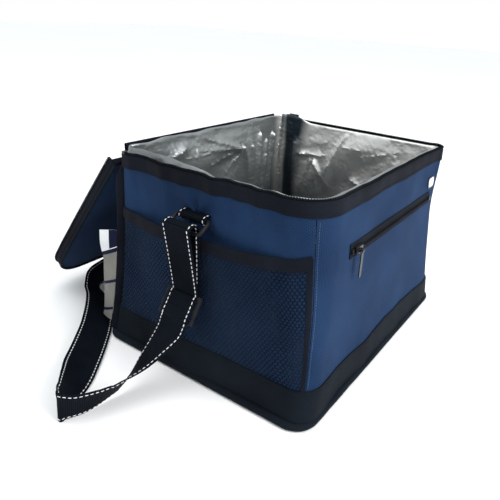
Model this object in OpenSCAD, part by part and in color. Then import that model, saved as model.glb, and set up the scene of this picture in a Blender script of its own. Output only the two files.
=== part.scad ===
// Soft insulated cooler bag with a zipped lid, standing open with its lid thrown back.
// The origin is the middle of the base on the floor, +Z is up and the zipped pocket faces -Y.
// The walls are layers of one lofted form: outer fabric, foam and lining follow the same outline.

/* [Body] */
// Height of the rim above the floor
body_h = 230; // [190:1:300]
// Width of the wall at the floor
base_w = 356; // [320:1:420]
// Depth of the wall at the floor
base_d = 282; // [262:1:340]
// Width of the wall at the rim
rim_w = 314; // [290:1:380]
// Depth of the wall at the rim
rim_d = 260; // [236:1:320]
// Radius of the front corners at the floor
base_r = 21; // [16:1:36]
// Radius of the front left corner at the rim
rim_r = 42; // [22:1:50]
// Radius of the front right corner at the rim
rim_r_right = 16; // [14:1:50]
// Radius of the back corners
back_r = 14; // [12:1:26]

/* [Layers] */
// Thickness of the outer fabric
fabric_t = 1.2; // [0.6:0.1:2]
// Thickness of the wall and lid foam
foam_t = 6; // [3:0.5:10]
// Thickness of the silver lining
liner_t = 0.8; // [0.4:0.1:1.5]
// Thickness of woven tape and of the black base fabric
tape_t = 1.2; // [0.6:0.1:2]
// Room between one layer and the next
layer_gap = 0.3; // [0.2:0.05:0.5]

/* [Base] */
// Height of the black band above the floor
band_h = 40; // [24:1:60]
// Radius of the round piping along the bottom edge
piping_r = 4.1; // [3:0.1:6]
// Thickness of the stiff board under the base foam
board_t = 2; // [1:0.5:3]

/* [Rim] */
// Height of the black tape below the rim
rim_tape_h = 15; // [10:1:26]
// Height of the zip's coil
coil_h = 3; // [2:0.5:5]
// Thickness of the zip's coil
coil_t = 3; // [2:0.5:4]
// Distance from one turn of the coil to the next
coil_pitch = 2.6; // [2:0.1:5]
// How far a turn of the coil stands out
coil_ridge = 0.5; // [0.2:0.1:0.8]
// Free height between the two coils when the lid is down
coil_gap = 1.8; // [1.6:0.1:4]

/* [Lid] */
// How far the lid is thrown open in the resting pose
lid_open = 231; // [200:1:238]
// Height of the lid's zip tape
skirt_h = 8; // [4:0.5:16]
// Radius of the piping round the lid
lid_piping_r = 1.8; // [1.2:0.1:3]
// Distance of the hinge line behind the back wall
hinge_out = 3.5; // [3:0.1:6]
// Height of the hinge line above the rim
hinge_up = 6; // [5:0.1:9]
// Depth of the soft strip between the hinge line and the lid's panel
hinge_strip = 18; // [16:0.5:26]

/* [Front pocket] */
// Left end of the pocket's zip
pocket_x0 = -98; // [-112:1:-60]
// Right end of the pocket's zip
pocket_x1 = 124; // [60:1:126]
// Height of the zip's middle line
pocket_z = 169; // [120:1:185]
// Height of both zip tapes together
pocket_tape_h = 16; // [13:0.5:22]
// Height of the pocket's coil
pocket_coil_h = 4.4; // [3:0.2:6]
// Depth of the pouch below the zip
pouch_h = 105; // [60:1:125]
// Thickness of the flat pouch
pouch_t = 0.8; // [0.4:0.1:1.5]

/* [Side pockets] */
// Height of the top edge of the mesh at the back
mesh_top_back = 168; // [140:1:176]
// Height of the top edge of the mesh at the front
mesh_top_front = 178; // [140:1:180]
// How far the top edge of the mesh hangs down in its middle
mesh_sag = 5; // [0:0.5:10]
// How far the mesh stands out in its middle
mesh_bulge = 12; // [8:0.5:18]
// Thickness of the mesh
mesh_t = 0.8; // [0.5:0.1:1.5]
// Height of the binding along the top of the mesh
mesh_binding_h = 13; // [8:0.5:18]

/* [Strap] */
// Width of the webbing
web_w = 38; // [34:1:39]
// Thickness of the webbing
web_t = 1.8; // [1.2:0.1:2.4]
// Place of the strap's tab along each end
tab_y = 12; // [-20:1:30]
// Height of the ring's upper bar
tab_z = 186.5; // [184:0.5:192]
// Inner width of the rings
ring_inner_w = 40; // [40:0.5:44]
// Distance between the two long bars of a ring
ring_reach = 18; // [16:0.2:20]
// Radius of the ring's bars
ring_bar_r = 2; // [1.5:0.1:2.4]
// Slope of the rings below level in the resting pose
ring_tilt = 30; // [24:1:36]
// Length of the doubled webbing between the left ring and its slide buckle
drop_len = 70; // [56:1:80]
// Height of the slide buckle
buckle_h = 30; // [24:1:34]
// Thickness of the slide buckle
buckle_t = 3.4; // [2.6:0.2:5]
// How far the strap pulls the foot of the buckle out from the wall, as an angle
buckle_tilt = 34; // [20:1:45]

/* [Hidden] */
$fn = 32;
corner_steps = 6;
wall_grid = [for (i = [1:11]) body_h * pow(i / 12, 1.5)];
floor_h = 2 * piping_r;
wall_z0 = floor_h + layer_gap;
wall_z1 = body_h - 1.5;
panel_in = fabric_t;
foam_out = panel_in + layer_gap;
front_foam_out = foam_out + pouch_t + layer_gap;
foam_in = foam_out + foam_t;
liner_out = foam_in + layer_gap;
liner_in = liner_out + liner_t;
cover_in = -layer_gap;
cover_out = -layer_gap - tape_t;
seam = 0.006;
binding_t = 2.5;
binding_fin = 9;
binding_span = 0.08;

piping_in = -1;
base_inset = piping_in + piping_r + layer_gap;
base_foam_z = fabric_t + board_t + 2 * layer_gap;

coil_z = body_h + layer_gap;
coil_top = coil_z + coil_h;
coil_end_y = rim_d / 2 - back_r;
lid_coil_z = coil_top + coil_gap;
lid_skirt_z = lid_coil_z + coil_h + layer_gap;
lid_piping_z = lid_skirt_z + skirt_h + layer_gap + lid_piping_r;
lid_top = lid_piping_z;
lid_panel_inset = 2 * lid_piping_r;
hinge_y = rim_d / 2 + hinge_out;
hinge_z = body_h + hinge_up;
lid_back_y = hinge_y - hinge_strip;
lid_foam_top = lid_top - fabric_t - layer_gap;
lid_foam_t = foam_t - 1;
lid_foam_inset = tape_t + layer_gap;
hinge_room = 0.5;
hinge_fold_r = 1.5;
film_fold = 95;

// Plain helpers for numbers and points

function mix(a, b, t) = a + (b - a) * t;
function steps(a, b, n) = [for (i = [0:n]) mix(a, b, i / n)];
function unit(v) = v / norm(v);
function backwards(list) = [for (i = [len(list) - 1:-1:0]) list[i]];

// Heights from z0 to z1 that all layers of the wall share, closer together where it flares
function heights(z0, z1) = concat([z0], [for (z = wall_grid) if (z > z0 + 1 && z < z1 - 1) z], [z1]);

// The wall's outline at a height. The ends flare towards the floor; the front and back lean evenly.

function half_w(z) = mix(rim_w, base_w, pow(1 - z / body_h, 3)) / 2;
function half_d(z) = mix(rim_d, base_d, 1 - z / body_h) / 2;
function left_r(z) = mix(base_r, rim_r, z / body_h);
function right_r(z) = mix(base_r, rim_r_right, z / body_h);
function arc(cx, cy, r, a, z) = [cx + r * cos(a), cy + r * sin(a), z];

// A point of the wall. Going round, u counts the straight sides and the corners between them:
// 0 left end, 1 front left corner, 2 front, 3 front right corner, 4 right end, 5 corner, 6 back, 7 corner.
function wall(u, inset, z) =
    let (
        v = u - 8 * floor(u / 8),
        side = floor(v),
        t = v - side,
        w = half_w(z),
        d = half_d(z),
        rl = left_r(z),
        rr = right_r(z)
    )
    side == 0 ? [inset - w, mix(d - back_r, rl - d, t), z] :
    side == 1 ? arc(rl - w, rl - d, rl - inset, 180 + 90 * t, z) :
    side == 2 ? [mix(rl - w, w - rr, t), inset - d, z] :
    side == 3 ? arc(w - rr, rr - d, rr - inset, 270 + 90 * t, z) :
    side == 4 ? [w - inset, mix(rr - d, d - back_r, t), z] :
    side == 5 ? arc(w - back_r, d - back_r, back_r - inset, 90 * t, z) :
    side == 6 ? [mix(w - back_r, back_r - w, t), d - inset, z] :
    arc(back_r - w, d - back_r, back_r - inset, 90 + 90 * t, z);

// Places along the outline from a to b, with one for each facet of the corners between
function span(a, b) = concat(
    [a],
    [for (k = [floor(a * corner_steps) + 1:ceil(b * corner_steps) - 1])
        let (u = k / corner_steps)
        if (k % corner_steps == 0 || abs(floor(u)) % 2 == 1) u],
    [b]
);
around = [for (u = span(0, 8)) if (u < 8) u];

// A solid through rings of points that each run up one face and down the other
module loft(rings, closed = false) {
    n = len(rings[0]);
    m = len(rings);
    end = (m - 1) * n;
    sides = [for (k = [0:closed ? m - 1 : m - 2]) for (i = [0:n - 1])
        let (next = ((k + 1) % m) * n, j = (i + 1) % n)
        each [[k * n + i, k * n + j, next + j], [k * n + i, next + j, next + i]]];
    caps = closed ? [] : [for (j = [0:n / 2 - 2])
        let (o = n - 1 - j)
        each [[j, o, o - 1], [j, o - 1, j + 1], [end + j, end + j + 1, end + o - 1], [end + j, end + o - 1, end + o]]];
    polyhedron([for (r = rings) each r], concat(sides, caps));
}

// A solid stacked from level outlines, each given as [height, inset]. It may follow the slack of the film.
module stack(levels, us = around, slack = false) {
    n = len(us);
    m = len(levels);
    points = [for (l = levels) each backwards([for (u = us) wall(u, l[1] + (slack ? film_off(u, l[0]) : 0), l[0])])];
    sides = [for (k = [0:m - 2]) for (i = [0:n - 1])
        let (j = (i + 1) % n)
        each [[k * n + i, k * n + j, (k + 1) * n + j], [k * n + i, (k + 1) * n + j, (k + 1) * n + i]]];
    caps = [[for (i = [n - 1:-1:0]) i], [for (i = [0:n - 1]) (m - 1) * n + i]];
    polyhedron(points, concat(sides, caps));
}

// One ring of a layer at place u: up the outer face, then down the inner one
function layer_ring(u, zs, outer, inner) = concat(
    [for (z = zs) wall(u, outer, z)],
    [for (z = backwards(zs)) wall(u, inner, z)]
);

// A layer of the wall from place a to place b
module layer(a, b, z0, z1, outer, inner) {
    zs = heights(z0, z1);
    loft([for (u = span(a, b)) layer_ring(u, zs, outer, inner)]);
}

// A layer that runs all the way round
module hoop(z0, z1, outer, inner) {
    zs = heights(z0, z1);
    loft([for (u = around) layer_ring(u, zs, outer, inner)], closed = true);
}

// A strip on the flat of the front wall
module front_strip(x0, x1, z0, z1, outer, inner) {
    loft([for (x = [x0, x1]) [
        [x, outer - half_d(z0), z0], [x, outer - half_d(z1), z1],
        [x, inner - half_d(z1), z1], [x, inner - half_d(z0), z0]
    ]]);
}

module right_side(on) {
    mirror([on ? 1 : 0, 0, 0]) children();
}

// Base

module base_outline(inset) {
    w = base_w / 2 - inset;
    d = base_d / 2 - inset;
    rf = base_r - inset;
    rb = back_r - inset;
    translate([-w, rf - d]) square([2 * w, 2 * d - rf - rb]);
    translate([rf - w, -d]) square([2 * (w - rf), d]);
    translate([rb - w, 0]) square([2 * (w - rb), d]);
    for (s = [-1, 1]) {
        translate([s * (w - rf), rf - d]) circle(rf);
        translate([s * (w - rb), d - rb]) circle(rb);
    }
}

module base_slab(z, t) {
    translate([0, 0, z]) linear_extrude(t) base_outline(base_inset);
}

module base_panel() {
    color("#15171b") base_slab(0, fabric_t);
}

module base_board() {
    color("#c8c4b8") base_slab(fabric_t + layer_gap, board_t);
}

module base_foam() {
    color("#e8e6df") base_slab(base_foam_z, floor_h - base_foam_z);
}

// A round rod that starts at p and runs for a length, turned about Z by an angle from +X
module rod(p, angle, length, r) {
    translate(p) rotate([0, 90, angle]) cylinder(h = length, r = r);
}

// A quarter turn of round rod, starting at an angle about its centre
module rod_bend(centre, bend, angle, r) {
    translate(centre) rotate(angle) rotate_extrude(angle = 90) translate([bend, 0]) circle(r);
}

module base_piping() {
    w = base_w / 2 - piping_in;
    d = base_d / 2 - piping_in;
    rf = base_r - piping_in;
    rb = back_r - piping_in;
    z = piping_r;
    color("#101216") {
        rod([rf - w, -d, z], 0, 2 * (w - rf), piping_r);
        rod([rb - w, d, z], 0, 2 * (w - rb), piping_r);
        for (s = [-1, 1]) rod([s * w, rf - d, z], 90, 2 * d - rf - rb, piping_r);
        rod_bend([rf - w, rf - d, z], rf, 180, piping_r);
        rod_bend([w - rf, rf - d, z], rf, 270, piping_r);
        rod_bend([w - rb, d - rb, z], rb, 0, piping_r);
        rod_bend([rb - w, d - rb, z], rb, 90, piping_r);
    }
}

module base_band() {
    color("#15171b") hoop(wall_z0, band_h, cover_out, cover_in);
}

// Walls

module wall_panel(a, b) {
    color("#1f335c") layer(a + seam, b - seam, wall_z0, wall_z1, 0, panel_in);
}

module wall_foam(a, b, outer) {
    color("#e8e6df") layer(a + seam, b - seam, wall_z0, wall_z1, outer, foam_in);
}

module left_end_panel() { wall_panel(-0.5, 1.5); }
module front_panel() { wall_panel(1.5, 3.5); }
module right_end_panel() { wall_panel(3.5, 5.5); }
module back_panel() { wall_panel(5.5, 7.5); }

module left_end_foam() { wall_foam(-0.5, 1.5, foam_out); }
module front_foam() { wall_foam(1.5, 3.5, front_foam_out); }
module right_end_foam() { wall_foam(3.5, 5.5, foam_out); }
module back_foam() { wall_foam(5.5, 7.5, foam_out); }

// How far the slack film stands off the foam: slanting folds on the four sides, none at the edges it is sewn to
function film_off(u, z) =
    let (
        side = floor(u),
        p = wall(u, 0, z),
        middle = side % 2 == 1 ? 0 : pow(sin(180 * (u - side)), 0.6),
        held = max(0, min(1, (z - wall_z0) / 40, (wall_z1 - z) / 22))
    )
    held * (0.8 + middle * (3 + 2.2 * sin(360 * (0.9 * p.x + 0.7 * p.y + 0.8 * z) / film_fold)
        + 1.5 * sin(40 + 360 * (0.5 * p.x - 0.9 * p.y - 1.1 * z) / (0.75 * film_fold))));

module liner() {
    flange_z = wall_z1 + layer_gap;
    flange_top = flange_z + liner_t;
    us = [for (k = [0:7]) let (n = k % 2 == 1 ? corner_steps : 9) for (i = [0:n - 1]) k + i / n];
    outside = [for (z = steps(wall_z0, flange_z, 11)) [z, liner_out]];
    inside = [for (z = steps(wall_z0 + liner_t, flange_top + 1, 11)) [z, liner_in]];
    color("#b9bbbd") difference() {
        stack(concat(outside, [[flange_z, foam_out], [flange_top, foam_out]]), us, true);
        stack(inside, us, true);
    }
}

// The two panels' edges stand out in a fin, which tape wraps. It narrows under the rim, where the lid hangs.
function fin_out(z) = mix(binding_t, binding_fin, min(1, max(0, (body_h - rim_tape_h - layer_gap - z) / 12)));

module corner_binding(u) {
    zs = heights(band_h + layer_gap, body_h - rim_tape_h - layer_gap);
    color("#101216") loft([for (v = span(u - binding_span, u + binding_span)) concat(
        [for (z = zs) wall(v, cover_in - fin_out(z), z)],
        [for (z = backwards(zs)) wall(v, cover_in, z)]
    )]);
}

module back_left_binding() { corner_binding(7.5); }
module back_right_binding() { corner_binding(5.5); }

// White tag sewn into the back left seam, standing out of the binding's fin
module care_tag() {
    tag_w = 20;
    tag_t = 0.6;
    tag_z0 = floor_h + 22;
    tag_z1 = 134;
    out = unit([-1, 1, 0]);
    across = [out.y, -out.x, 0] * tag_t;
    color("white") loft([for (z = backwards(heights(tag_z0, tag_z1)))
        let (
            p = wall(7.5, cover_in - binding_fin - layer_gap, z),
            q = p + out * tag_w
        )
        [p, q, q + across, p + across]]);
}

// Bare sewn patch beside the front right corner, a little below the rim tape
module front_patch() {
    patch_w = 22;
    patch_h = 15;
    z = body_h - rim_tape_h - 34;
    x = half_w(z) - right_r(z) - patch_w / 2 - 1;
    color("white") front_strip(x - patch_w / 2, x + patch_w / 2, z, z + patch_h, cover_in - 1.4, cover_in);
}

// Rim and its zip

module rim_tape() {
    color("#101216") hoop(body_h - rim_tape_h, body_h, cover_out, cover_in);
}

// A point of the zip's path round the left end, the front and the right end, s along it from the back left
zip_corner_l = coil_end_y + rim_d / 2 - rim_r;
zip_front_l = zip_corner_l + PI * rim_r / 2;
zip_front_r = zip_front_l + rim_w - rim_r - rim_r_right;
zip_corner_r = zip_front_r + PI * rim_r_right / 2;
zip_len = zip_corner_r + coil_end_y + rim_d / 2 - rim_r_right;

function zip_place(s) =
    s < zip_corner_l ? [0, s / zip_corner_l] :
    s < zip_front_l ? [1, (s - zip_corner_l) / (zip_front_l - zip_corner_l)] :
    s < zip_front_r ? [2, (s - zip_front_l) / (zip_front_r - zip_front_l)] :
    s < zip_corner_r ? [3, (s - zip_front_r) / (zip_corner_r - zip_front_r)] :
    [4, (s - zip_corner_r) / (zip_len - zip_corner_r)];

function zip_point(s, out) =
    let (
        place = zip_place(s),
        part = place[0],
        t = place[1],
        w = rim_w / 2,
        d = rim_d / 2,
        r = part < 2 ? rim_r : rim_r_right,
        centre = [part < 2 ? r - w : w - r, r - d],
        a = part == 1 ? 180 + 90 * t : 270 + 90 * t
    )
    part == 0 ? [-w - out, mix(coil_end_y, centre.y, t)] :
    part == 2 ? [mix(rim_r - w, w - rim_r_right, t), -d - out] :
    part == 4 ? [w + out, mix(centre.y, coil_end_y, t)] :
    centre + (r + out) * [cos(a), sin(a)];

// The turned edge of a zip coil: its outer face rises and falls once for each turn
module zip_coil(z) {
    turns = floor(zip_len / coil_pitch);
    outer = [for (i = [0:2 * turns])
        zip_point(zip_len * i / (2 * turns), coil_t / 2 + (i % 2) * coil_ridge)];
    inner_n = 72;
    inner = [for (i = [inner_n:-1:0]) zip_point(zip_len * i / inner_n, -coil_t / 2)];
    translate([0, 0, z]) linear_extrude(coil_h) polygon(concat(outer, inner));
}

module rim_zip_coil() {
    color("#08090b") zip_coil(coil_z);
}

// Clips that end the zip at both back corners
module rim_zip_stops() {
    stop_l = 4;
    color("#2b2d31") for (s = [-1, 1])
        translate([s * rim_w / 2 - coil_t / 2 - 0.6, coil_end_y + layer_gap, coil_z])
            cube([coil_t + 1.2, stop_l, coil_h]);
}

// Soft strip that stands from the back of the rim to the hinge line
hinge_half_w = rim_w / 2 - back_r;
module hinge_plate(outline) {
    translate([-hinge_half_w, 0, 0]) rotate([90, 0, 90]) linear_extrude(2 * hinge_half_w) polygon(outline);
}

module rim_hinge_strip() {
    y = rim_d / 2 - cover_in;
    rise = hinge_up - 2.5;
    run = hinge_out + cover_in - tape_t - hinge_room;
    z = body_h + layer_gap;
    color("#101216") hinge_plate([[y, z], [y + tape_t, z], [y + tape_t + run, z + rise], [y + run, z + rise]]);
}

// Lid, drawn shut and then thrown open about the hinge line

module thrown_open() {
    translate([0, hinge_y, hinge_z]) rotate([-lid_open, 0, 0]) translate([0, -hinge_y, -hinge_z]) children();
}

module lid_outline(inset, back = lid_back_y) {
    w = rim_w / 2 - inset;
    front = inset - rim_d / 2;
    rl = rim_r - inset;
    rr = rim_r_right - inset;
    translate([-w, front + rl]) square([w, back - front - rl]);
    translate([0, front + rr]) square([w, back - front - rr]);
    translate([rl - w, front]) square([2 * w - rl - rr, back - front]);
    translate([rl - w, front + rl]) circle(rl);
    translate([w - rr, front + rr]) circle(rr);
}

module lid_slab(z, t, inset) {
    translate([0, 0, z]) linear_extrude(t) lid_outline(inset);
}

module lid_panel() {
    color("#1f335c") thrown_open() lid_slab(lid_top - fabric_t, fabric_t, lid_panel_inset);
}

module lid_foam() {
    color("#e8e6df") thrown_open() lid_slab(lid_foam_top - lid_foam_t, lid_foam_t, lid_foam_inset);
}

module lid_liner() {
    color("#b9bbbd") thrown_open()
        lid_slab(lid_foam_top - lid_foam_t - layer_gap - liner_t, liner_t, lid_foam_inset);
}

module lid_skirt() {
    color("#101216") thrown_open() translate([0, 0, lid_skirt_z]) linear_extrude(skirt_h) difference() {
        lid_outline(0);
        lid_outline(tape_t, lid_back_y + 1);
    }
}

module lid_zip_coil() {
    cut = 2 * rim_w;
    color("#08090b") thrown_open() difference() {
        zip_coil(lid_coil_z);
        translate([-cut / 2, lid_back_y, lid_coil_z - 1]) cube([cut, cut, coil_h + 2]);
    }
}

module lid_piping() {
    w = rim_w / 2 - layer_gap;
    front = layer_gap - rim_d / 2;
    rl = rim_r - layer_gap;
    rr = rim_r_right - layer_gap;
    z = lid_piping_z;
    color("#101216") thrown_open() {
        rod([rl - w, front, z], 0, 2 * w - rl - rr, lid_piping_r);
        rod([-w, front + rl, z], 90, lid_back_y - front - rl, lid_piping_r);
        rod([w, front + rr, z], 90, lid_back_y - front - rr, lid_piping_r);
        rod_bend([rl - w, front + rl, z], rl, 180, lid_piping_r);
        rod_bend([w - rr, front + rr, z], rr, 270, lid_piping_r);
    }
}

module lid_hinge_strip() {
    start = [hinge_y, hinge_z];
    end = [lid_back_y + layer_gap + tape_t, lid_top];
    along = unit(end - start);
    below = [-along.y, along.x] * tape_t;
    color("#101216") thrown_open() {
        hinge_plate([start - below / 2, end, end + below, start + below / 2]);
        rod([-hinge_half_w, hinge_y, hinge_z], 0, 2 * hinge_half_w, hinge_fold_r);
    }
}

// Sliders and pulls

// The lug on a slider: a bar along X between two posts, its middle at the origin, with the slider below
module slider_lug(bar_r, half_gap, foot) {
    post = 1.6;
    rod([-half_gap - post, 0, 0], 0, 2 * (half_gap + post), bar_r);
    for (s = [-1, 1]) translate([s * (half_gap + post / 2) - post / 2, -bar_r, -foot])
        cube([post, 2 * bar_r, foot + bar_r]);
}

// A pull that hangs from such a lug: an eye round the bar and a long thin leaf away from it
module pull_leaf(bar_r, width, length, leaf_t) {
    eye_r = bar_r + 1;
    bore_r = bar_r + 0.15;
    tip_r = width / 2;
    difference() {
        union() {
            rod([-width / 2, 0, 0], 0, width, eye_r);
            translate([-width / 2, 0, -leaf_t / 2]) cube([width, length - tip_r, leaf_t]);
            translate([0, length - tip_r, -leaf_t / 2]) cylinder(h = leaf_t, r = tip_r);
        }
        rod([-width, 0, 0], 0, 2 * width, bore_r);
    }
}

main_bar_r = 0.9;
main_bar_out = 6.1;
main_slider_l = 16;
main_slider_y = coil_end_y - main_slider_l / 2 - 2;
main_bar_z = coil_top + 1;
main_pull_w = 6;

// Turns what is drawn with its face up, along X, to stand on the outside of the right end
module on_right_rim(out, y, z) {
    translate([rim_w / 2 + out, y, z]) rotate([0, 0, 90]) rotate([90, 0, 0]) children();
}

module main_zip_slider() {
    plate_t = 1.4;
    outer_x = max(tape_t + layer_gap, coil_t / 2 + coil_ridge) + 0.4;
    inner_x = -coil_t / 2 - layer_gap - 2.4;
    below = 4;
    above = coil_h + coil_gap + 3;
    bridge_l = 6;
    half_l = main_slider_l / 2;
    color("#3a3c40") {
        translate([rim_w / 2, main_slider_y - half_l, 0]) {
            translate([outer_x, 0, coil_z - below]) cube([plate_t, main_slider_l, below + above]);
            translate([inner_x - plate_t, 0, coil_z + layer_gap]) cube([plate_t, main_slider_l, above - layer_gap]);
            translate([inner_x - plate_t / 2, half_l - bridge_l / 2, coil_top + layer_gap])
                cube([outer_x - inner_x + plate_t, bridge_l, coil_gap - 2 * layer_gap]);
        }
        on_right_rim(main_bar_out, main_slider_y, main_bar_z)
            slider_lug(main_bar_r, main_pull_w / 2 + 0.4, main_bar_out - outer_x - plate_t / 2);
    }
}

module main_zip_pull() {
    color("#3a3c40") on_right_rim(main_bar_out, main_slider_y, main_bar_z)
        rotate([180, 0, 0]) pull_leaf(main_bar_r, main_pull_w, 24, 1.4);
}

// Zipped pocket on the front

pocket_tape_out = cover_in - 1;
pocket_coil_in = pocket_tape_out - layer_gap;
pocket_coil_t = 1.4;
pocket_slider_l = 13;
pocket_slider_x = pocket_x0 + pocket_slider_l / 2 + 5;
pocket_bar_r = 0.8;
pocket_bar_out = 8.2;
pocket_pull_w = 4.6;
pocket_y = -half_d(pocket_z);

module pocket_pouch() {
    color("#15171b")
        front_strip(pocket_x0, pocket_x1, pocket_z - pouch_h, pocket_z + pocket_tape_h / 2,
            foam_out, foam_out + pouch_t);
}

module pocket_zip_tapes() {
    half = pocket_tape_h / 2;
    room = 0.4;
    color("#101216") {
        front_strip(pocket_x0, pocket_x1, pocket_z - half, pocket_z - room, pocket_tape_out, cover_in);
        front_strip(pocket_x0, pocket_x1, pocket_z + room, pocket_z + half, pocket_tape_out, cover_in);
    }
}

pocket_stop_l = 3;
module pocket_zip_coil() {
    x0 = pocket_x0 + pocket_stop_l + 2 * layer_gap;
    x1 = pocket_x1 - pocket_stop_l - 2 * layer_gap;
    turns = floor((x1 - x0) / coil_pitch);
    back = pocket_y + pocket_coil_in;
    outer = [for (i = [0:2 * turns])
        [mix(x0, x1, i / (2 * turns)), back - pocket_coil_t - (i % 2) * coil_ridge]];
    color("#08090b") translate([0, 0, pocket_z - pocket_coil_h / 2]) linear_extrude(pocket_coil_h)
        polygon(concat(outer, [[x1, back], [x0, back]]));
}

module pocket_zip_stops() {
    t = pocket_coil_t + coil_ridge;
    h = pocket_coil_h + 1;
    color("#3a3c40") for (x = [pocket_x0 + layer_gap, pocket_x1 - pocket_stop_l - layer_gap])
        translate([x, pocket_y + pocket_coil_in - t, pocket_z - h / 2]) cube([pocket_stop_l, t, h]);
}

// Turns what is drawn with its face up, along X, to stand on the front wall
module on_front(x, out, z) {
    translate([x, pocket_y - out, z]) rotate([90, 0, 0]) children();
}

module pocket_zip_slider() {
    room = 0.4;
    cheek = 1.6;
    roof = 1.4;
    foot = -pocket_coil_in + layer_gap;
    height = pocket_coil_t + coil_ridge + room;
    inner = pocket_coil_h / 2 + room;
    outer = inner + cheek;
    roof_out = foot + height;
    profile = [
        [-outer, foot], [-inner, foot], [-inner, roof_out], [inner, roof_out],
        [inner, foot], [outer, foot], [outer, roof_out + roof], [-outer, roof_out + roof]
    ];
    color("#3a3c40") {
        on_front(pocket_slider_x - pocket_slider_l / 2, 0, pocket_z)
            rotate([90, 0, 90]) linear_extrude(pocket_slider_l) polygon(profile);
        on_front(pocket_slider_x, pocket_bar_out, pocket_z)
            slider_lug(pocket_bar_r, pocket_pull_w / 2 + 0.4, pocket_bar_out - roof_out - roof / 2);
    }
}

module pocket_zip_pull() {
    color("#3a3c40") on_front(pocket_slider_x, pocket_bar_out, pocket_z)
        rotate([180, 0, 0]) pull_leaf(pocket_bar_r, pocket_pull_w, 30, 1.2);
}

// Mesh pockets on both ends

mesh_u0 = -0.3;
mesh_u1 = 1.45;
mesh_z0 = band_h + layer_gap;

function mesh_top(u) =
    let (t = (u - mesh_u0) / (mesh_u1 - mesh_u0))
    mix(mesh_top_back, mesh_top_front, t) - mesh_sag * sin(180 * t);
function swell(u, z) =
    let (
        across = u > 0 && u < 1 ? sin(180 * u) : 0,
        rise = (z - mesh_z0) / (mesh_top(u) - mesh_z0)
    )
    mesh_bulge * across * sin(90 * min(1, rise / 0.4));

// The same place on the left end or, counted the other way round, on the right end
function end_place(u, right) = right ? 5 - u : u;

module mesh_layer(foot, head, outer, inner, n, right) {
    places = concat(span(mesh_u0, 0), steps(0.1, 0.9, 8), span(1, mesh_u1));
    loft([for (u = right ? backwards(places) : places)
        let (zs = steps(foot(u), head(u), n), e = end_place(u, right))
        concat(
            [for (z = zs) wall(e, cover_in - outer - swell(u, z), z)],
            [for (z = backwards(zs)) wall(e, cover_in - inner - swell(u, z), z)]
        )]);
}

module mesh_pocket(right) {
    color("#2a3550") mesh_layer(
        function (u) mesh_z0,
        function (u) mesh_top(u) - mesh_binding_h - layer_gap,
        mesh_t, 0, 10, right);
}

module mesh_binding(right) {
    binding_out = 1.8;
    color("#101216") mesh_layer(
        function (u) mesh_top(u) - mesh_binding_h,
        function (u) mesh_top(u),
        binding_out, 0, 1, right);
}

module left_mesh() { mesh_pocket(false); }
module left_mesh_binding() { mesh_binding(false); }
module right_mesh() { mesh_pocket(true); }
module right_mesh_binding() { mesh_binding(true); }

// Strap hardware, drawn for the left end. Out is the distance from the end panel, towards -X.

tab_room = 0.5;
tab_inner_r = ring_bar_r + tab_room;
tab_outer_r = tab_inner_r + web_t;
tab_out = tab_outer_r + 2;
ring_axis_x = -half_w(tab_z) - tab_out;
ring_bend = 4;
ring_half = ring_inner_w / 2 + ring_bar_r;
ring_drop = [-cos(ring_tilt), 0, -sin(ring_tilt)] * ring_reach;
bar = [ring_axis_x, tab_y, tab_z] + ring_drop;
fold_r = 5.5;
fold_out = fold_r - ring_bar_r - layer_gap;
fold_up = 3;
fold = [bar.x - fold_out, tab_y, bar.z + fold_up];
buckle_top = bar.z - drop_len;
buckle_bar = 5;

// Extrudes an outline, drawn as [outwards, up] from a point, across the width of the webbing
module across_web(p) {
    translate([p.x, p.y + web_w / 2, p.z]) rotate([90, 0, 0]) linear_extrude(web_w) mirror([1, 0]) children();
}

module strap_tab() {
    reach = tab_out - layer_gap;
    color("#15171b") across_web([ring_axis_x, tab_y, tab_z]) {
        intersection() {
            difference() {
                circle(tab_outer_r);
                circle(tab_inner_r);
            }
            translate([0, -tab_outer_r]) square(2 * tab_outer_r);
        }
        for (z = [tab_inner_r, -tab_outer_r]) translate([-reach, z]) square([reach, web_t]);
    }
}

// Rectangular ring of round bar, its upper bar on the joint's axis
module strap_ring() {
    long = 2 * (ring_half - ring_bend);
    short = ring_reach - 2 * ring_bend;
    color("#0b0c0e") translate([ring_axis_x, tab_y, tab_z]) rotate([0, -ring_tilt, 0]) rotate([0, 0, 90]) {
        rod([-long / 2, 0, 0], 0, long, ring_bar_r);
        rod([-long / 2, ring_reach, 0], 0, long, ring_bar_r);
        for (s = [-1, 1]) rod([s * ring_half, ring_bend, 0], 90, short, ring_bar_r);
        rod_bend([-long / 2, ring_bend, 0], ring_bend, 180, ring_bar_r);
        rod_bend([long / 2, ring_bend, 0], ring_bend, 270, ring_bar_r);
        rod_bend([long / 2, ring_reach - ring_bend, 0], ring_bend, 0, ring_bar_r);
        rod_bend([-long / 2, ring_reach - ring_bend, 0], ring_bend, 90, ring_bar_r);
    }
}

module left_tab() { strap_tab(); }
module right_tab() { right_side(true) strap_tab(); }
module left_ring() { strap_ring(); }
module right_ring() { right_side(true) strap_ring(); }

// Webbing folded over the ring's lower bar, with both strands running down to a foot that lies further in
module folded_web(length, foot_in) {
    foot_r = web_t + 0.2;
    slit = foot_r - web_t;
    outer_r = fold_r + web_t;
    foot = bar.z - length + layer_gap - fold.z;
    turn = steps(0, 180, 12);
    color("#15171b") across_web(fold) polygon(concat(
        [for (a = turn) outer_r * [cos(a), sin(a)]],
        [[-foot_r - foot_in, foot], [-slit - foot_in, foot]],
        [for (a = backwards(turn)) fold_r * [cos(a), sin(a)]],
        [[slit - foot_in, foot], [foot_r - foot_in, foot]]
    ));
}

drop_in = 5;
module strap_drop() { folded_web(drop_len, drop_in); }

right_loop_len = 30;
right_loop_in = 5;
module right_strap_loop() {
    right_side(true) folded_web(right_loop_len, right_loop_in);
}

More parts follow.
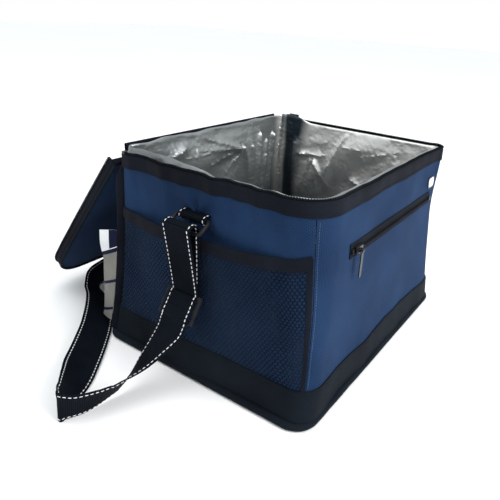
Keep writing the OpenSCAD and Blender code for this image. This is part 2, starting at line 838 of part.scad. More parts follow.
// Flat three-bar buckle that the webbing is threaded through, its foot pulled out by the strap
buckle_head = [fold.x + drop_in, tab_y, buckle_top - sin(buckle_tilt) * buckle_t / 2];
buckle_down = [-sin(buckle_tilt), 0, -cos(buckle_tilt)];
module slide_buckle() {
    slot_h = (buckle_h - 3 * buckle_bar) / 2;
    half = ring_half + ring_bar_r;
    color("#0b0c0e") translate(buckle_head) rotate([0, buckle_tilt + 90, 0]) translate([0, 0, -buckle_t / 2])
        linear_extrude(buckle_t) difference() {
            translate([0, -half]) square([buckle_h, 2 * half]);
            for (k = [0, 1]) translate([buckle_bar + k * (slot_h + buckle_bar), -ring_inner_w / 2])
                square([slot_h, ring_inner_w]);
        }
}

// The shoulder strap's route from under the buckle, round a fold on the floor, behind the bag and up to the
// right ring. Each row is a point of its middle line, then the direction of its upper edge there.
web_stand = web_w / 2 + 0.4;
strap_start = buckle_head + buckle_down * (buckle_h + layer_gap);
strap_end = [-fold.x - right_loop_in, tab_y, bar.z - right_loop_len];
route = concat(
    [[strap_start, [0, -1, 0]]],
    [
        [[-201, 16, 68], [-0.1, -1, 0]],
        [[-212, 23, 53], [-0.35, -0.9, 0.05]],
        [[-226, 32, 36], [-0.6, -0.7, 0.3]],
        [[-240, 40, 22], [-0.75, -0.5, 0.45]],
        [[-254, 45, 18], [-0.55, -0.3, 0.8]],
        [[-272, 46, 18], [-0.35, -0.2, 0.9]],
        [[-289, 48, 18.5], [-0.25, -0.15, 0.95]],
        [[-301, 51, 19], [-0.1, -0.1, 1]],
        [[-306, 57, web_stand], [0, 0, 1]],
        [[-302, 64, 19], [0, 0.1, 1]],
        [[-290, 71, 18.5], [-0.15, 0.2, 0.97]],
        [[-274, 82, 16.5], [-0.35, 0.42, 0.83]],
        [[-256, 96, 14], [-0.45, 0.55, 0.7]],
        [[-236, 112, 13], [-0.47, 0.6, 0.65]],
        [[-217, 128, 13], [-0.47, 0.6, 0.65]],
        [[-199, 145, 13.5], [-0.45, 0.55, 0.7]],
        [[-181, 163, 15.5], [-0.4, 0.4, 0.8]],
        [[-164, 182, 18], [-0.2, 0.2, 0.95]],
        [[-150, 201, web_stand], [0, 0, 1]],
        [[-139, 221, web_stand], [0, 0, 1]],
        [[-128, 239, web_stand], [0, 0, 1]],
        [[-110, 251, web_stand], [0, 0, 1]],
        [[-80, 255, web_stand], [0, 0, 1]],
        [[80, 255, web_stand], [0, 0, 1]],
        [[120, 250, web_stand], [0, 0, 1]],
        [[156, 234, web_stand], [0, 0, 1]],
        [[181, 208, web_stand], [0, 0, 1]],
        [[194, 174, web_stand], [0, 0, 1]],
        [[198, 136, web_stand], [0, 0, 1]],
        [[199, 102, 20], [0.1, 0.1, 1]],
        [[198, 74, 27], [0.2, 0.4, 0.9]],
        [[195, 52, 44], [0.2, 0.75, 0.6]],
        [[190, 34, 70], [0.1, 0.95, 0.3]],
        [[184, 22, 100], [0, 1, 0.15]],
        [[181, 15, 126], [0, 1, 0]]
    ],
    [[strap_end, [0, 1, 0]]]
);

// A flat band along such a route
module ribbon(path, width, thickness) {
    n = len(path);
    color("#15171b") loft([for (i = [0:n - 1])
        let (
            p = path[i][0],
            ahead = path[min(i + 1, n - 1)][0],
            behind = path[max(i - 1, 0)][0],
            along = i == 0 ? buckle_down : i == n - 1 ? [0, 0, 1] : unit(ahead - behind),
            up = unit(path[i][1] - along * (path[i][1] * along)) * width / 2,
            side = unit(cross(along, up)) * thickness / 2
        )
        [p - up + side, p + up + side, p + up - side, p - up - side]]);
}

module shoulder_strap() {
    ribbon(route, web_w, web_t);
}

base_panel();
base_board();
base_foam();
base_piping();
base_band();
front_panel();
back_panel();
left_end_panel();
right_end_panel();
front_foam();
back_foam();
left_end_foam();
right_end_foam();
liner();
rim_tape();
rim_zip_coil();
rim_zip_stops();
rim_hinge_strip();
back_left_binding();
back_right_binding();
care_tag();
front_patch();
lid_panel();
lid_foam();
lid_liner();
lid_skirt();
lid_zip_coil();
lid_piping();
lid_hinge_strip();
main_zip_slider();
main_zip_pull();
pocket_pouch();
pocket_zip_tapes();
pocket_zip_coil();
pocket_zip_stops();
pocket_zip_slider();
pocket_zip_pull();
left_mesh();
left_mesh_binding();
right_mesh();
right_mesh_binding();
left_tab();
right_tab();
left_ring();
right_ring();
strap_drop();
slide_buckle();
shoulder_strap();
right_strap_loop();
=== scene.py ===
# %% [markdown]
# # Dressing a soft cooler bag
# The construction gives hard, even solids. This lesson turns them into what they stand for: woven fabric,
# foam, crinkled silver film, net, webbing and zips. Almost every piece is one formula, worked out as a
# whole array of points with numpy and handed to Blender as a mesh, so that a change of one number changes
# the piece.

import bpy
import numpy as np
from mathutils import Matrix


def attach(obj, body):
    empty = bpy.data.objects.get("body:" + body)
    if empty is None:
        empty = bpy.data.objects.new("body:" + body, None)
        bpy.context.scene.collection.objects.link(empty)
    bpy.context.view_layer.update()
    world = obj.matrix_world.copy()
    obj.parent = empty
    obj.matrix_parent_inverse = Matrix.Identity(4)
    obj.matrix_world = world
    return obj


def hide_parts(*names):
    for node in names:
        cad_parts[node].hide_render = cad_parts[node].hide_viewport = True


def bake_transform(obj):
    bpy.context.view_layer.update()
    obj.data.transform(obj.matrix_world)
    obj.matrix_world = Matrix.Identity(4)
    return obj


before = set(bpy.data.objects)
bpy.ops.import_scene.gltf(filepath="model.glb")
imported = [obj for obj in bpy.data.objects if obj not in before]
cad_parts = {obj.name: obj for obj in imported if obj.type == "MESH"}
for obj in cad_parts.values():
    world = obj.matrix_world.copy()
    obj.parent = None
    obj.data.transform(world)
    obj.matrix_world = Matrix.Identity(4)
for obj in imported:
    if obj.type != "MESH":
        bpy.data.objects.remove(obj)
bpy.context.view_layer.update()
MM = 0.001

# %% [markdown]
# ## Camera, light and floor
# A camera is three directions and a place. The direction from the bag to the camera comes from two angles,
# and a small roll turns the picture. The lens is given in picture widths, and the shift moves the picture's
# middle.

# %% Camera
PICTURE = 500.0
lens_px, middle_px = 508.7, (289.4, 236.2)
eye = np.array([-0.5125, -0.3236, 0.3781])
azimuth, elevation, roll = np.radians([-57.73, 23.46, 3.58])
scene = bpy.context.scene


def unit(v):
    """Vectors of length 1."""
    return v / np.linalg.norm(v, axis=-1, keepdims=True)


def aimed(data, place, right, away):
    """A camera or light at a place. Its X axis points to the right, and it looks against the direction
    away."""
    obj = bpy.data.objects.new(data.name, data)
    axes = np.column_stack([right, np.cross(away, right), away, place])
    obj.matrix_world = Matrix(np.vstack([axes, [0, 0, 0, 1]]).tolist())
    scene.collection.objects.link(obj)
    return obj


outward = np.array([np.sin(azimuth), -np.cos(azimuth), 0.0])
back = outward * np.cos(elevation) + [0, 0, np.sin(elevation)]
level = np.array([np.cos(azimuth), np.sin(azimuth), 0.0])
camera = bpy.data.cameras.new("camera")
scene.camera = aimed(camera, eye, np.cos(roll) * level + np.sin(roll) * np.cross(back, level), back)
camera.lens = camera.sensor_width * lens_px / PICTURE
camera.shift_x, camera.shift_y = 0.5 - middle_px[0] / PICTURE, middle_px[1] / PICTURE - 0.5
camera.clip_start, camera.clip_end = 0.01, 100
print("camera lens", round(camera.lens, 2), "mm")

# %% [markdown]
# Light and finishes are trees of nodes. A small class holds a tree and a few short words for making nodes
# in it, so that the recipes below read as sums.


# %% Node helpers
class Nodes:
    """A node tree with short words for its nodes. A value is a number, a colour or an output of another
    node."""

    def __init__(self, tree):
        self.tree = tree

    def wire(self, value, socket):
        """Links a socket to an output, or sets its plain value."""
        if isinstance(value, bpy.types.NodeSocket):
            self.tree.links.new(value, socket)
        else:
            socket.default_value = value

    def use(self, kind, settings=(), **inputs):
        """The outputs of a new node of a kind, or of a shared group. An underscore in an input stands for a
        space."""
        shared = isinstance(kind, Nodes)
        node = self.tree.nodes.new("ShaderNodeGroup" if shared else "ShaderNode" + kind)
        if shared:
            node.node_tree = kind.tree
        for name, value in dict(settings).items():
            setattr(node, name, value)
        for name, value in inputs.items():
            self.wire(value, node.inputs[name.replace("_", " ")])
        return node.outputs

    def calc(self, operation, *values):
        """The output of a Math node."""
        node = self.tree.nodes.new("ShaderNodeMath")
        node.operation = operation
        for value, socket in zip(values, node.inputs):
            self.wire(value, socket)
        return node.outputs[0]

    def total(self, *terms):
        """A sum of values, each times its weight."""
        result, *others = [self.calc("MULTIPLY", value, weight) for value, weight in terms]
        for other in others:
            result = self.calc("ADD", result, other)
        return result

    def ramp(self, value, low, high, start=0.0, end=1.0):
        """A value rescaled from one range to another, without leaving it."""
        return self.use("MapRange", Value=value, From_Min=start, From_Max=end, To_Min=low, To_Max=high)[0]

    def blend(self, share, a, b):
        """A colour between two colours."""
        node = self.tree.nodes.new("ShaderNodeMix")
        node.data_type = "RGBA"
        for place, value in ((0, share), (6, a), (7, b)):
            self.wire((*value, 1) if isinstance(value, tuple) else value, node.inputs[place])
        return node.outputs[2]


# %% [markdown]
# The light is a white room, brighter overhead than at its sides, so that film and cloth show their folds.
# One big soft light in front makes the zipped face the brighter one, and a weak one hangs overhead. The
# camera itself sees plain white.

# %% Light and floor
scene.view_settings.view_transform = "Standard"
scene.world = bpy.data.worlds.new("white_room")
scene.world.use_nodes = True
room = Nodes(scene.world.node_tree)
lamp, sky = room.tree.nodes["Background"], room.tree.nodes["World Output"]
upward = room.use("SeparateXYZ", Vector=room.use("TexCoord")["Generated"])["Z"]
room.wire(room.ramp(upward, 0.55, 1.3), lamp.inputs["Strength"])
room.wire((0.95, 0.98, 1.0, 1), lamp.inputs["Color"])
backdrop = room.use("Background", Color=(1, 1, 1, 1))[0]
either = room.tree.nodes.new("ShaderNodeMixShader")
for value, socket in zip((room.use("LightPath")["Is Camera Ray"], lamp.outputs[0], backdrop), either.inputs):
    room.wire(value, socket)
room.wire(either.outputs[0], sky.inputs[0])


def softbox(name, place, size, power):
    """A square area light at a place, turned towards the bag."""
    light = bpy.data.lights.new(name, "AREA")
    light.size, light.energy = size, power
    away = unit(np.array(place) - [0, 0, 0.1])
    aimed(light, place, unit(np.cross([0, 0.01, 1.0], away)), away)


softbox("key", (0.1, -1.9, 1.3), size=1.4, power=44)
softbox("overhead", (-0.35, 0.3, 1.9), size=1.2, power=8)
floor_mesh = bpy.data.meshes.new("floor")
floor_mesh.from_pydata([(-9, -9, 0), (9, -9, 0), (9, 9, 0), (-9, 9, 0)], [], [(0, 1, 2, 3)])
floor = bpy.data.objects.new("floor", floor_mesh)
scene.collection.objects.link(floor)
print("floor and two soft lights")

# %% [markdown]
# ## From arrays to meshes
# One function makes nearly every mesh here. It takes rings of points, joins each ring to the next with
# four-sided faces and closes both ends. A slab of cloth is such a loft too: each ring runs up its outer
# face and down its inner one. The UV map is measured along the piece in metres, so that a weave has its
# real size.


# %% Lofts
def add_mesh(name, points, faces, uv):
    """A mesh from points in mm, corners, and a UV place in metres for every corner. Edges over 40 degrees
    are sharp."""
    mesh = bpy.data.meshes.new(name)
    mesh.from_pydata((np.asarray(points) * MM).tolist(), [], faces.tolist())
    mesh.uv_layers.new(name="cloth").data.foreach_set("uv", np.asarray(uv, float).reshape(-1))
    mesh.shade_smooth()
    mesh.set_sharp_from_angle(angle=np.radians(40))
    return mesh


def pairs(a, b):
    """Two grids that hold every pair of a value of a and a value of b."""
    return np.meshgrid(a, b, indexing="ij")


def lengths(line):
    """The distance along a line at each of its points."""
    return np.concatenate([[0], np.linalg.norm(np.diff(line, axis=0), axis=1).cumsum()])


def ring_uv(rings, closed=False):
    """UV places of lofted rings: the distance from ring to ring, and the mean distance round the ring, in
    metres."""
    centres = rings.mean(1)
    along = lengths(np.concatenate([centres, centres[:1]]) if closed else centres)
    round_it = np.concatenate([rings, rings[:, :1]], axis=1)
    around = np.concatenate([[0], np.linalg.norm(np.diff(round_it, axis=1), axis=2).mean(0).cumsum()])
    return np.stack(pairs(along, around), -1) * MM


def inside_out(points, faces):
    """Whether the faces of a closed solid look inwards, which makes its volume count as negative."""
    p = points[faces]
    return np.einsum("ij,ij->", p[:, 0], np.cross(p[:, 1], p[:, 2]) + np.cross(p[:, 2], p[:, 3])) < 0


def loft(name, rings, closed=False, uv=None):
    """A solid through an array of rings (rings, points, 3). Face (i, j) joins points j and j+1 of ring i to
    those of ring i+1; an end is closed by faces between its first and second half."""
    n, k = rings.shape[:2]
    uv = ring_uv(rings, closed) if uv is None else uv
    i, j = pairs(np.arange(n if closed else n - 1), np.arange(k))
    ii = np.stack([i, i, i + 1, i + 1], -1).reshape(-1, 4)
    jj = np.stack([j, j + 1, j + 1, j], -1).reshape(-1, 4)
    if not closed:
        h = np.arange(k // 2 - 1)
        end = np.stack([h, h + 1, k - 2 - h, k - 1 - h], -1)
        ii = np.concatenate([ii, np.zeros_like(end), np.full_like(end, n - 1)])
        jj = np.concatenate([jj, end[:, [1, 0, 3, 2]], end])
    faces, places, points = (ii % n) * k + jj % k, uv[ii, jj], rings.reshape(-1, 3)
    if inside_out(points, faces):
        faces, places = faces[:, ::-1], places[:, ::-1]
    return add_mesh(name, points, faces, places)


def slab(name, outer, inner, closed=False):
    """A sheet with thickness: two grids (rows, columns, 3) become rings that run up one grid and down the
    other."""
    return loft(name, np.concatenate([outer, inner[:, ::-1]], axis=1), closed)


def dressed(mesh, finish, nodes):
    """An object with a finish, which stands for CAD nodes and hides them."""
    obj = bpy.data.objects.new(mesh.name, mesh)
    scene.collection.objects.link(obj)
    mesh.materials.append(finish.material)
    if nodes:
        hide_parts(*nodes)
    return obj


def put(mesh, finish, *nodes, body="bag"):
    """Makes the mesh a piece that wears a finish, stands for CAD nodes and rides on a body."""
    obj = dressed(mesh, finish, nodes)
    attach(obj, body)
    print(f"{obj.name}: {len(mesh.polygons)} faces on {body}")
    return obj


# %% [markdown]
# ## Shared finishes
# Cloth is made visible by its threads. A node group works out a plain weave from two sines: where their
# product is positive the lengthwise thread lies on top, and its root gives the rounded height of each
# crossing. Other groups give ribs, cloudy unevenness with lint, the holes of a net and the small facets of
# crinkled film.


# %% Shared groups
class Effect(Nodes):
    """A shared shader group with a Vector input, number inputs and number outputs."""

    def __init__(self, name, inputs, outputs):
        super().__init__(bpy.data.node_groups.new(name, "ShaderNodeTree"))
        add = self.tree.interface.new_socket
        add("Vector", in_out="INPUT", socket_type="NodeSocketVector")
        for label, value in inputs.items():
            add(label, in_out="INPUT", socket_type="NodeSocketFloat").default_value = value
        for label in outputs:
            add(label, in_out="OUTPUT", socket_type="NodeSocketFloat")
        self.given = self.tree.nodes.new("NodeGroupInput").outputs
        self.result = self.tree.nodes.new("NodeGroupOutput").inputs
        self.x, self.y = self.use("SeparateXYZ", Vector=self.given["Vector"])[:2]

    def wave(self, x):
        """The sine of a place, which changes sign after every pitch."""
        return self.calc("SINE", self.calc("MULTIPLY", self.calc("DIVIDE", x, self.given["Pitch"]), np.pi))

    def give(self, label, value):
        """Sends a value to an output."""
        self.wire(value, self.result[label])


weave = Effect("plain_weave", {"Pitch": 0.001}, ["Height", "Lengthwise"])
crossing = weave.calc("MULTIPLY", weave.wave(weave.x), weave.wave(weave.y))
weave.give("Height", weave.calc("SQRT", weave.calc("ABSOLUTE", crossing)))
weave.give("Lengthwise", weave.calc("GREATER_THAN", crossing, 0.0))

ribs = Effect("woven_ribs", {"Pitch": 0.0017, "Slant": 0.0}, ["Height"])
slanted = ribs.calc("ADD", ribs.x, ribs.calc("MULTIPLY", ribs.y, ribs.given["Slant"]))
ribs.give("Height", ribs.calc("ABSOLUTE", ribs.wave(slanted)))

uneven = Effect("uneven_cloth", {"Size": 0.05}, ["Cloud", "Lint"])
for label, finer, start, end in (("Cloud", 1.0, 0.3, 0.7), ("Lint", 150.0, 0.68, 0.78)):
    scale = uneven.calc("DIVIDE", finer, uneven.given["Size"])
    noise = uneven.use("TexNoise", Vector=uneven.given["Vector"], Scale=scale, Detail=3.0)[0]
    uneven.give(label, uneven.ramp(noise, 0, 1, start, end))

net = Effect("open_net", {"Across": 0.0046, "Up": 0.0066}, ["Thread", "Height"])
holes = []
for shift in (0.0, 0.5):
    oval = []
    for x, size, half in ((net.x, "Across", 0.40), (net.y, "Up", 0.26)):
        cell = net.calc("ADD", net.calc("DIVIDE", x, net.given[size]), shift)
        off = net.calc("ABSOLUTE", net.calc("SUBTRACT", net.calc("FRACT", cell), 0.5))
        oval.append(net.calc("POWER", net.calc("DIVIDE", off, half), 2.0))
    holes.append(net.calc("ADD", *oval))
nearest = net.calc("MINIMUM", *holes)
net.give("Thread", net.ramp(nearest, 0, 1, 0.75, 1.1))
net.give("Height", net.ramp(nearest, 0, 1, 0.9, 2.2))

crinkle = Effect("film_crinkle", {"Size": 0.02}, ["Height"])
fineness = crinkle.calc("DIVIDE", 1.0, crinkle.given["Size"])
stretch = {"Rotation": (0.5, 0.65, 0.2), "Scale": (0.4, 0.9, 1.2)}
streaks = crinkle.use("Mapping", Vector=crinkle.given["Vector"], **stretch)[0]
bent = crinkle.use("TexNoise", Vector=streaks, Scale=fineness, Detail=2.0)[0]
ridge = crinkle.ramp(crinkle.calc("ABSOLUTE", crinkle.calc("SUBTRACT", bent, 0.5)), 1.0, 0.0, 0.0, 0.2)
coarse = crinkle.calc("DIVIDE", 0.7, crinkle.given["Size"])
facets = crinkle.use("TexVoronoi", {"feature": "DISTANCE_TO_EDGE"}, Vector=streaks, Scale=coarse)["Distance"]
crease = crinkle.ramp(facets, 0.0, 0.35, 0.0, 0.14)
crinkle.give("Height", crinkle.calc("MULTIPLY", crinkle.calc("ADD", ridge, crease), 0.74))
print("shared groups:", [g.name for g in bpy.data.node_groups])

# %% [markdown]
# A material picks its groups and their sizes. The Principled shader stays in the material itself, with
# every plain number set on its own socket. Most woven patterns read the piece's UV map, so that threads
# follow the cloth. Clouds, lint, foam, film and hard parts read Object coordinates.


# %% Materials
class Finish(Nodes):
    """A new material: its Principled shader with plain sockets set, the UV place and the Object place."""

    def __init__(self, name, **plain):
        self.name, self.material = name, bpy.data.materials.new(name)
        self.material.use_nodes = True
        super().__init__(self.material.node_tree)
        self.shader = self.tree.nodes["Principled BSDF"]
        self.set(**plain)
        self.uv = self.use("UVMap", {"uv_map": "cloth"})[0]
        self.place = self.use("TexCoord")["Object"]

    def set(self, **sockets):
        """Sets or links the shader's sockets by name."""
        for label, value in sockets.items():
            self.wire(value, self.shader.inputs[label.replace("_", " ")])

    def cloud(self, size):
        """Soft patches of about a size in metres, from 0 to 1."""
        return self.use(uneven, Vector=self.place, Size=size)["Cloud"]

    def bump(self, height, strength, distance):
        """A Bump node between a height and the shader's normal. Distance is the height of 1 in metres."""
        self.set(Normal=self.use("Bump", Height=height, Strength=strength, Distance=distance)[0])


def woven(name, deep, pale, pitch, rough=(0.6, 0.85), slant=None, strength=0.5, lint=0.06, sheen=0.01):
    """Cloth: the lengthwise threads are a little paler, clouds shift the colour, and lint lies on it. With
    a slant it has ribs in place of a plain weave."""
    cloth = Finish(name, Sheen_Weight=sheen, Sheen_Roughness=0.45, Specular_IOR_Level=0.04)
    if slant is None:
        pattern = cloth.use(weave, Vector=cloth.uv, Pitch=pitch)
    else:
        pattern = cloth.use(ribs, Vector=cloth.uv, Pitch=pitch, Slant=slant)
    patches = cloth.use(uneven, Vector=cloth.place, Size=0.07)
    height = pattern["Height"]
    raised = pattern["Lengthwise"] if slant is None else height
    colour = cloth.blend(cloth.total((raised, 0.45), (patches["Cloud"], 0.55)), deep, pale)
    specks = cloth.calc("MULTIPLY", patches["Lint"], lint)
    cloth.set(Base_Color=cloth.blend(specks, colour, tuple(0.25 + 0.6 * c for c in pale)))
    cloth.set(Roughness=cloth.ramp(height, rough[1], rough[0]))
    cloth.bump(height, strength, pitch * 0.35)
    return cloth


def thread(name, deep, pale):
    """Sewing thread, with fine ribs that wind round it."""
    return woven(name, deep, pale, 0.0004, slant=1.0, lint=0.0)


navy_cloth = woven("navy_cloth", (0.0065, 0.0185, 0.051), (0.017, 0.043, 0.106), 0.0015, strength=0.6,
                   lint=0.04)
black_cloth = woven("black_cloth", (0.003, 0.0045, 0.0075), (0.011, 0.016, 0.0225), 0.0014, strength=0.6)
black_tape = woven("black_tape", (0.0028, 0.0036, 0.0062), (0.0105, 0.0128, 0.0195), 0.0013, slant=0.5,
                   lint=0.05)
strap_web = woven("strap_web", (0.0003, 0.0005, 0.0012), (0.0065, 0.01, 0.0165), 0.0017, slant=0.0,
                  strength=0.9, lint=0.02, sheen=0.0)
thread_white = thread("thread_white", (0.62, 0.63, 0.66), (0.85, 0.85, 0.86))
thread_black = thread("thread_black", (0.004, 0.005, 0.008), (0.016, 0.019, 0.026))
thread_navy = thread("thread_navy", (0.045, 0.085, 0.165), (0.100, 0.160, 0.270))
zip_nylon = woven("zip_nylon", (0.003, 0.0032, 0.0045), (0.01, 0.0105, 0.013), 0.0006, (0.3, 0.42), slant=0.0,
                  strength=0.2, lint=0.0, sheen=0.0)
pale_floor = Finish("pale_floor", Roughness=0.8)
floor_tones = (0.965, 0.965, 0.965), (0.985, 0.985, 0.985)
pale_floor.set(Base_Color=pale_floor.blend(pale_floor.cloud(0.9), *floor_tones))
floor_mesh.materials.append(pale_floor.material)
print("materials so far, with the frame's own:", len(bpy.data.materials))

# %% [markdown]
# ## The shoulder strap
# Webbing is stiff across and limp along, so its middle line and the direction of one edge say everything.
# The route below is close to the construction's own, in millimetres: out of the buckle, down to the floor,
# round a standing fold, behind the bag and up to the right ring. A smooth curve runs through the points,
# and a flat profile with woven ribs is carried along it.


# %% Curves through points
def spread(at, s, v):
    """Rows of values v, known at the lengths s, at other lengths."""
    return np.stack([np.interp(at, s, column) for column in v.T], -1)


def smooth(points, step):
    """A curve through given points, by cubics: each stretch leaves along the line between its neighbours.
    It comes back as places a fixed step apart along the curve."""
    p = np.asarray(points, float)
    p = np.concatenate([2 * p[:1] - p[1:2], p, 2 * p[-1:] - p[-2:-1]])
    t = np.linspace(0, 1, 24, endpoint=False)[:, None]
    a, b, c, d = (p[i : len(p) - 3 + i, None, :] for i in range(4))
    line = 0.5 * (2 * b + (c - a) * t + (2 * a - 5 * b + 4 * c - d) * t**2 + (3 * b - a - 3 * c + d) * t**3)
    line = np.concatenate([line.reshape(-1, p.shape[1]), p[-2:-1]])
    s = lengths(line[:, :3])
    return spread(np.linspace(0, s[-1], max(2, int(round(s[-1] / step)) + 1)), s, line)


def along_line(line):
    """The direction of a line at each of its points."""
    return unit(np.gradient(line, axis=0))


def webbing(name, route, width=38.0, thick=1.8, rib=1.7):
    """A ribbed band along a route of points and edge directions. Across the band the thickness falls off at
    the edges as a high power of the place; along it the ribs make it swell and shrink. Returns the mesh,
    the middle line, the edge direction and the face direction."""
    curve = smooth([[*p, *w] for p, w in route], rib / 3)
    line, tangent = curve[:, :3], along_line(curve[:, :3])
    edge = unit(curve[:, 3:] - tangent * (curve[:, 3:] * tangent).sum(1, keepdims=True))
    face = np.cross(tangent, edge)
    across = np.sin(np.linspace(-1, 1, 13) * np.pi / 2)
    rise = thick / 2 * (0.35 + 0.65 * np.sqrt(1 - across**8))
    swell = 1 + 0.14 * np.cos(2 * np.pi * np.arange(len(line)) / 3)
    up = line[:, None] + edge[:, None] * (across * width / 2)[None, :, None]
    lift = face[:, None] * (swell[:, None] * rise[None])[..., None]
    return slab(name, up + lift, up - lift), line, edge, face


# %% Stitches
def stitches(name, lines, pitch=5.0, dash=3.4, r=0.55):
    """Rows of separate stitches. Each line is (points, face direction). A stitch is a small loaf: five
    rings of six points whose size is the root of 1 - x^4 along it, half sunk into the cloth."""
    x = np.linspace(-1, 1, 5) * 0.98
    size = (r * np.sqrt(1 - x**4))[:, None, None]
    angle = np.arange(6)[:, None] * np.pi / 3
    blocks = []
    for points, face in lines:
        s = lengths(points)
        at = np.arange(pitch / 2, s[-1] - pitch / 4, pitch)
        known = (points, np.broadcast_to(face, points.shape), along_line(points))
        centre, up, tangent = (spread(at, s, v)[:, None, None] for v in known)
        ring = np.cos(angle) * unit(np.cross(tangent, up)) + np.sin(angle) * unit(up) * 0.8
        blocks.append(centre + tangent * (x * dash / 2)[:, None, None] + ring * size)
    points = np.concatenate(blocks).reshape(-1, 3)
    i, j = pairs(np.arange(4), np.arange(6))
    after = (j + 1) % 6
    face = np.stack([i * 6 + j, i * 6 + after, i * 6 + 6 + after, i * 6 + 6 + j], -1).reshape(-1, 4)
    face = np.concatenate([face, [[3, 2, 1, 0], [5, 4, 3, 0], [24, 25, 26, 27], [24, 27, 28, 29]]])
    face = face[:, ::-1] if inside_out(points[:30] - points[0], face) else face
    faces = (face[None] + np.arange(0, len(points), 30)[:, None, None]).reshape(-1, 4)
    uv = np.stack([points[:, 0] + points[:, 1], points[:, 2]], -1)[faces] * MM
    return add_mesh(name, points, faces, uv)


def stitched_webbing(name, route, node, width=38.0, inset=3.2, lift=0.85):
    """A webbing with four rows of stitching: near both edges, on both faces. Returns both pieces and the
    middle line."""
    mesh, line, edge, face = webbing(name + "_webbing", route, width)
    signs = [(s, f) for s in (-1, 1) for f in (-1, 1)]
    rows = [(line + edge * s * (width / 2 - inset) + face * f * lift, face * f) for s, f in signs]
    return put(mesh, strap_web, node), put(stitches(name + "_stitching", rows), thread_white), line


# %% The strap
BUCKLE_HEAD = np.array([-177.195, 12, 106.55])
BUCKLE_DOWN, BUCKLE_OUT = np.array([-0.5592, 0, -0.8290]), np.array([-0.8290, 0, 0.5592])
STAND = 19.9


def at_buckle(down, out):
    """A place on the slide buckle: so far below its head along the plate, and so far out of its middle
    plane."""
    return BUCKLE_HEAD + BUCKLE_DOWN * down + BUCKLE_OUT * out


strap_exit = at_buckle(14.8, 2.6)
on_plate = [strap_exit, at_buckle(20.0, 2.9), at_buckle(27.0, 3.0), at_buckle(33.0, 2.0)]
behind_bag = [
    (-110, 251), (-80, 255), (0, 256), (80, 255), (120, 250), (156, 234), (181, 208), (194, 174), (198, 136),
]
strap_route = [
    *[(p, (0, -1, 0)) for p in on_plate],
    ((-201, 16, 68), (-0.1, -1, 0)), ((-212, 22, 53), (-0.32, -0.9, 0.1)),
    ((-226, 28, 38), (-0.42, -0.8, 0.3)),
    ((-240, 32, 27), (-0.46, -0.65, 0.55)), ((-252.9, 34.8, 21.5), (-0.46, -0.53, 0.71)),
    ((-260.9, 37.1, 19), (-0.42, -0.48, 0.77)), ((-273.3, 39.4, 18.2), (-0.34, -0.4, 0.85)),
    ((-283.9, 42.2, 18.4), (-0.25, -0.32, 0.91)), ((-295.6, 47.7, 18.9), (-0.18, -0.27, 0.95)),
    ((-303, 53.5, STAND), (-0.05, -0.22, 0.97)), ((-305, 58.5, STAND), (0, -0.2, 0.98)),
    ((-300.5, 64, STAND), (-0.15, -0.12, 0.97)), ((-292, 69.5, 19), (-0.33, -0.05, 0.93)),
    ((-280.6, 77.1, 17.8), (-0.5, 0.05, 0.85)), ((-264.3, 89, 15.6), (-0.62, 0.28, 0.73)),
    ((-244.4, 106.9, 12.2), (-0.62, 0.6, 0.52)), ((-224.8, 123, 11.8), (-0.56, 0.68, 0.47)),
    ((-198.3, 146.1, 11.8), (-0.56, 0.66, 0.48)), ((-181, 163, 12.5), (-0.56, 0.66, 0.5)),
    ((-164, 182, 13.5), (-0.55, 0.62, 0.56)), ((-150, 201, 13.8), (-0.53, 0.58, 0.62)),
    ((-139, 221, 14.2), (-0.5, 0.55, 0.67)), ((-128, 239, 18.5), (-0.25, 0.3, 0.92)),
    *[((x, y, STAND), (0, 0, 1)) for x, y in behind_bag],
    ((199, 102, 20), (0.1, 0.1, 1)), ((198, 74, 27), (0.2, 0.4, 0.9)), ((195, 52, 44), (0.2, 0.75, 0.6)),
    ((190, 34, 70), (0.1, 0.95, 0.3)), ((184, 22, 100), (0, 1, 0.15)), ((181, 15, 126), (0, 1, 0)),
    ((177.2, 12, 146.6), (0, 1, 0)),
]
shoulder_webbing, shoulder_stitching, strap_line = stitched_webbing("shoulder", strap_route, "shoulder_strap")
strap_length = float(lengths(strap_line)[-1]) * MM
print("shoulder strap:", round(strap_length, 3), "m")

# %% [markdown]
# The same webbing makes the doubled drop at the left ring, the sewn loop at the right ring and the two tabs
# that hold the rings. Each is a route in the plane across the end wall: how far out of the wall, and how
# high.

# %% Webbing round the rings
RING_X, TAB_Y, TAB_Z = 163.442, 12.0, 186.5
BAR_OUT, BAR_Z = 179.03, 177.5


def end_route(side, outline, tail=()):
    """A route of points across an end wall, after a tail of other points."""
    return [(p, (0, side, 0)) for p in [*tail, *((side * out, TAB_Y, z) for out, z in outline)]]


def folded(side, foot_in, length, tail=()):
    """A band that runs up, over the ring's lower bar and down again. Out of the wall it is a half circle of
    6.4 mm with two straight legs that meet at the foot."""
    turn = np.radians(np.arange(0, 181, 20))
    fold_out, fold_z, foot = BAR_OUT + 3.2, BAR_Z + 3, BAR_Z - length
    legs = [(fold_out + 1.2 - foot_in, foot + 0.5), (fold_out + 2.6 - foot_in * 0.6, foot + length * 0.4)]
    inner = [(fold_out - 6.3 - foot_in * 0.05, foot + length * 0.55), (fold_out - 1.2 - foot_in, foot + 0.5)]
    over = [(fold_out + 6.4 * np.cos(a), fold_z + 6.4 * np.sin(a)) for a in turn]
    return end_route(side, [*legs, *over, *inner], tail)


def tab_route(side):
    """A band out of the wall, half round the ring's upper bar and back."""
    turn = np.radians(np.arange(90, -91, -20))
    over = [(RING_X + 3.4 * np.cos(a), TAB_Z + 3.4 * np.sin(a)) for a in turn]
    legs = [(157.4, 3.6), (160.5, 3.5), (160.5, -3.5), (157.4, -3.6)]
    legs = [(out, TAB_Z + up) for out, up in legs]
    return end_route(side, [*legs[:2], *over, *legs[2:]])


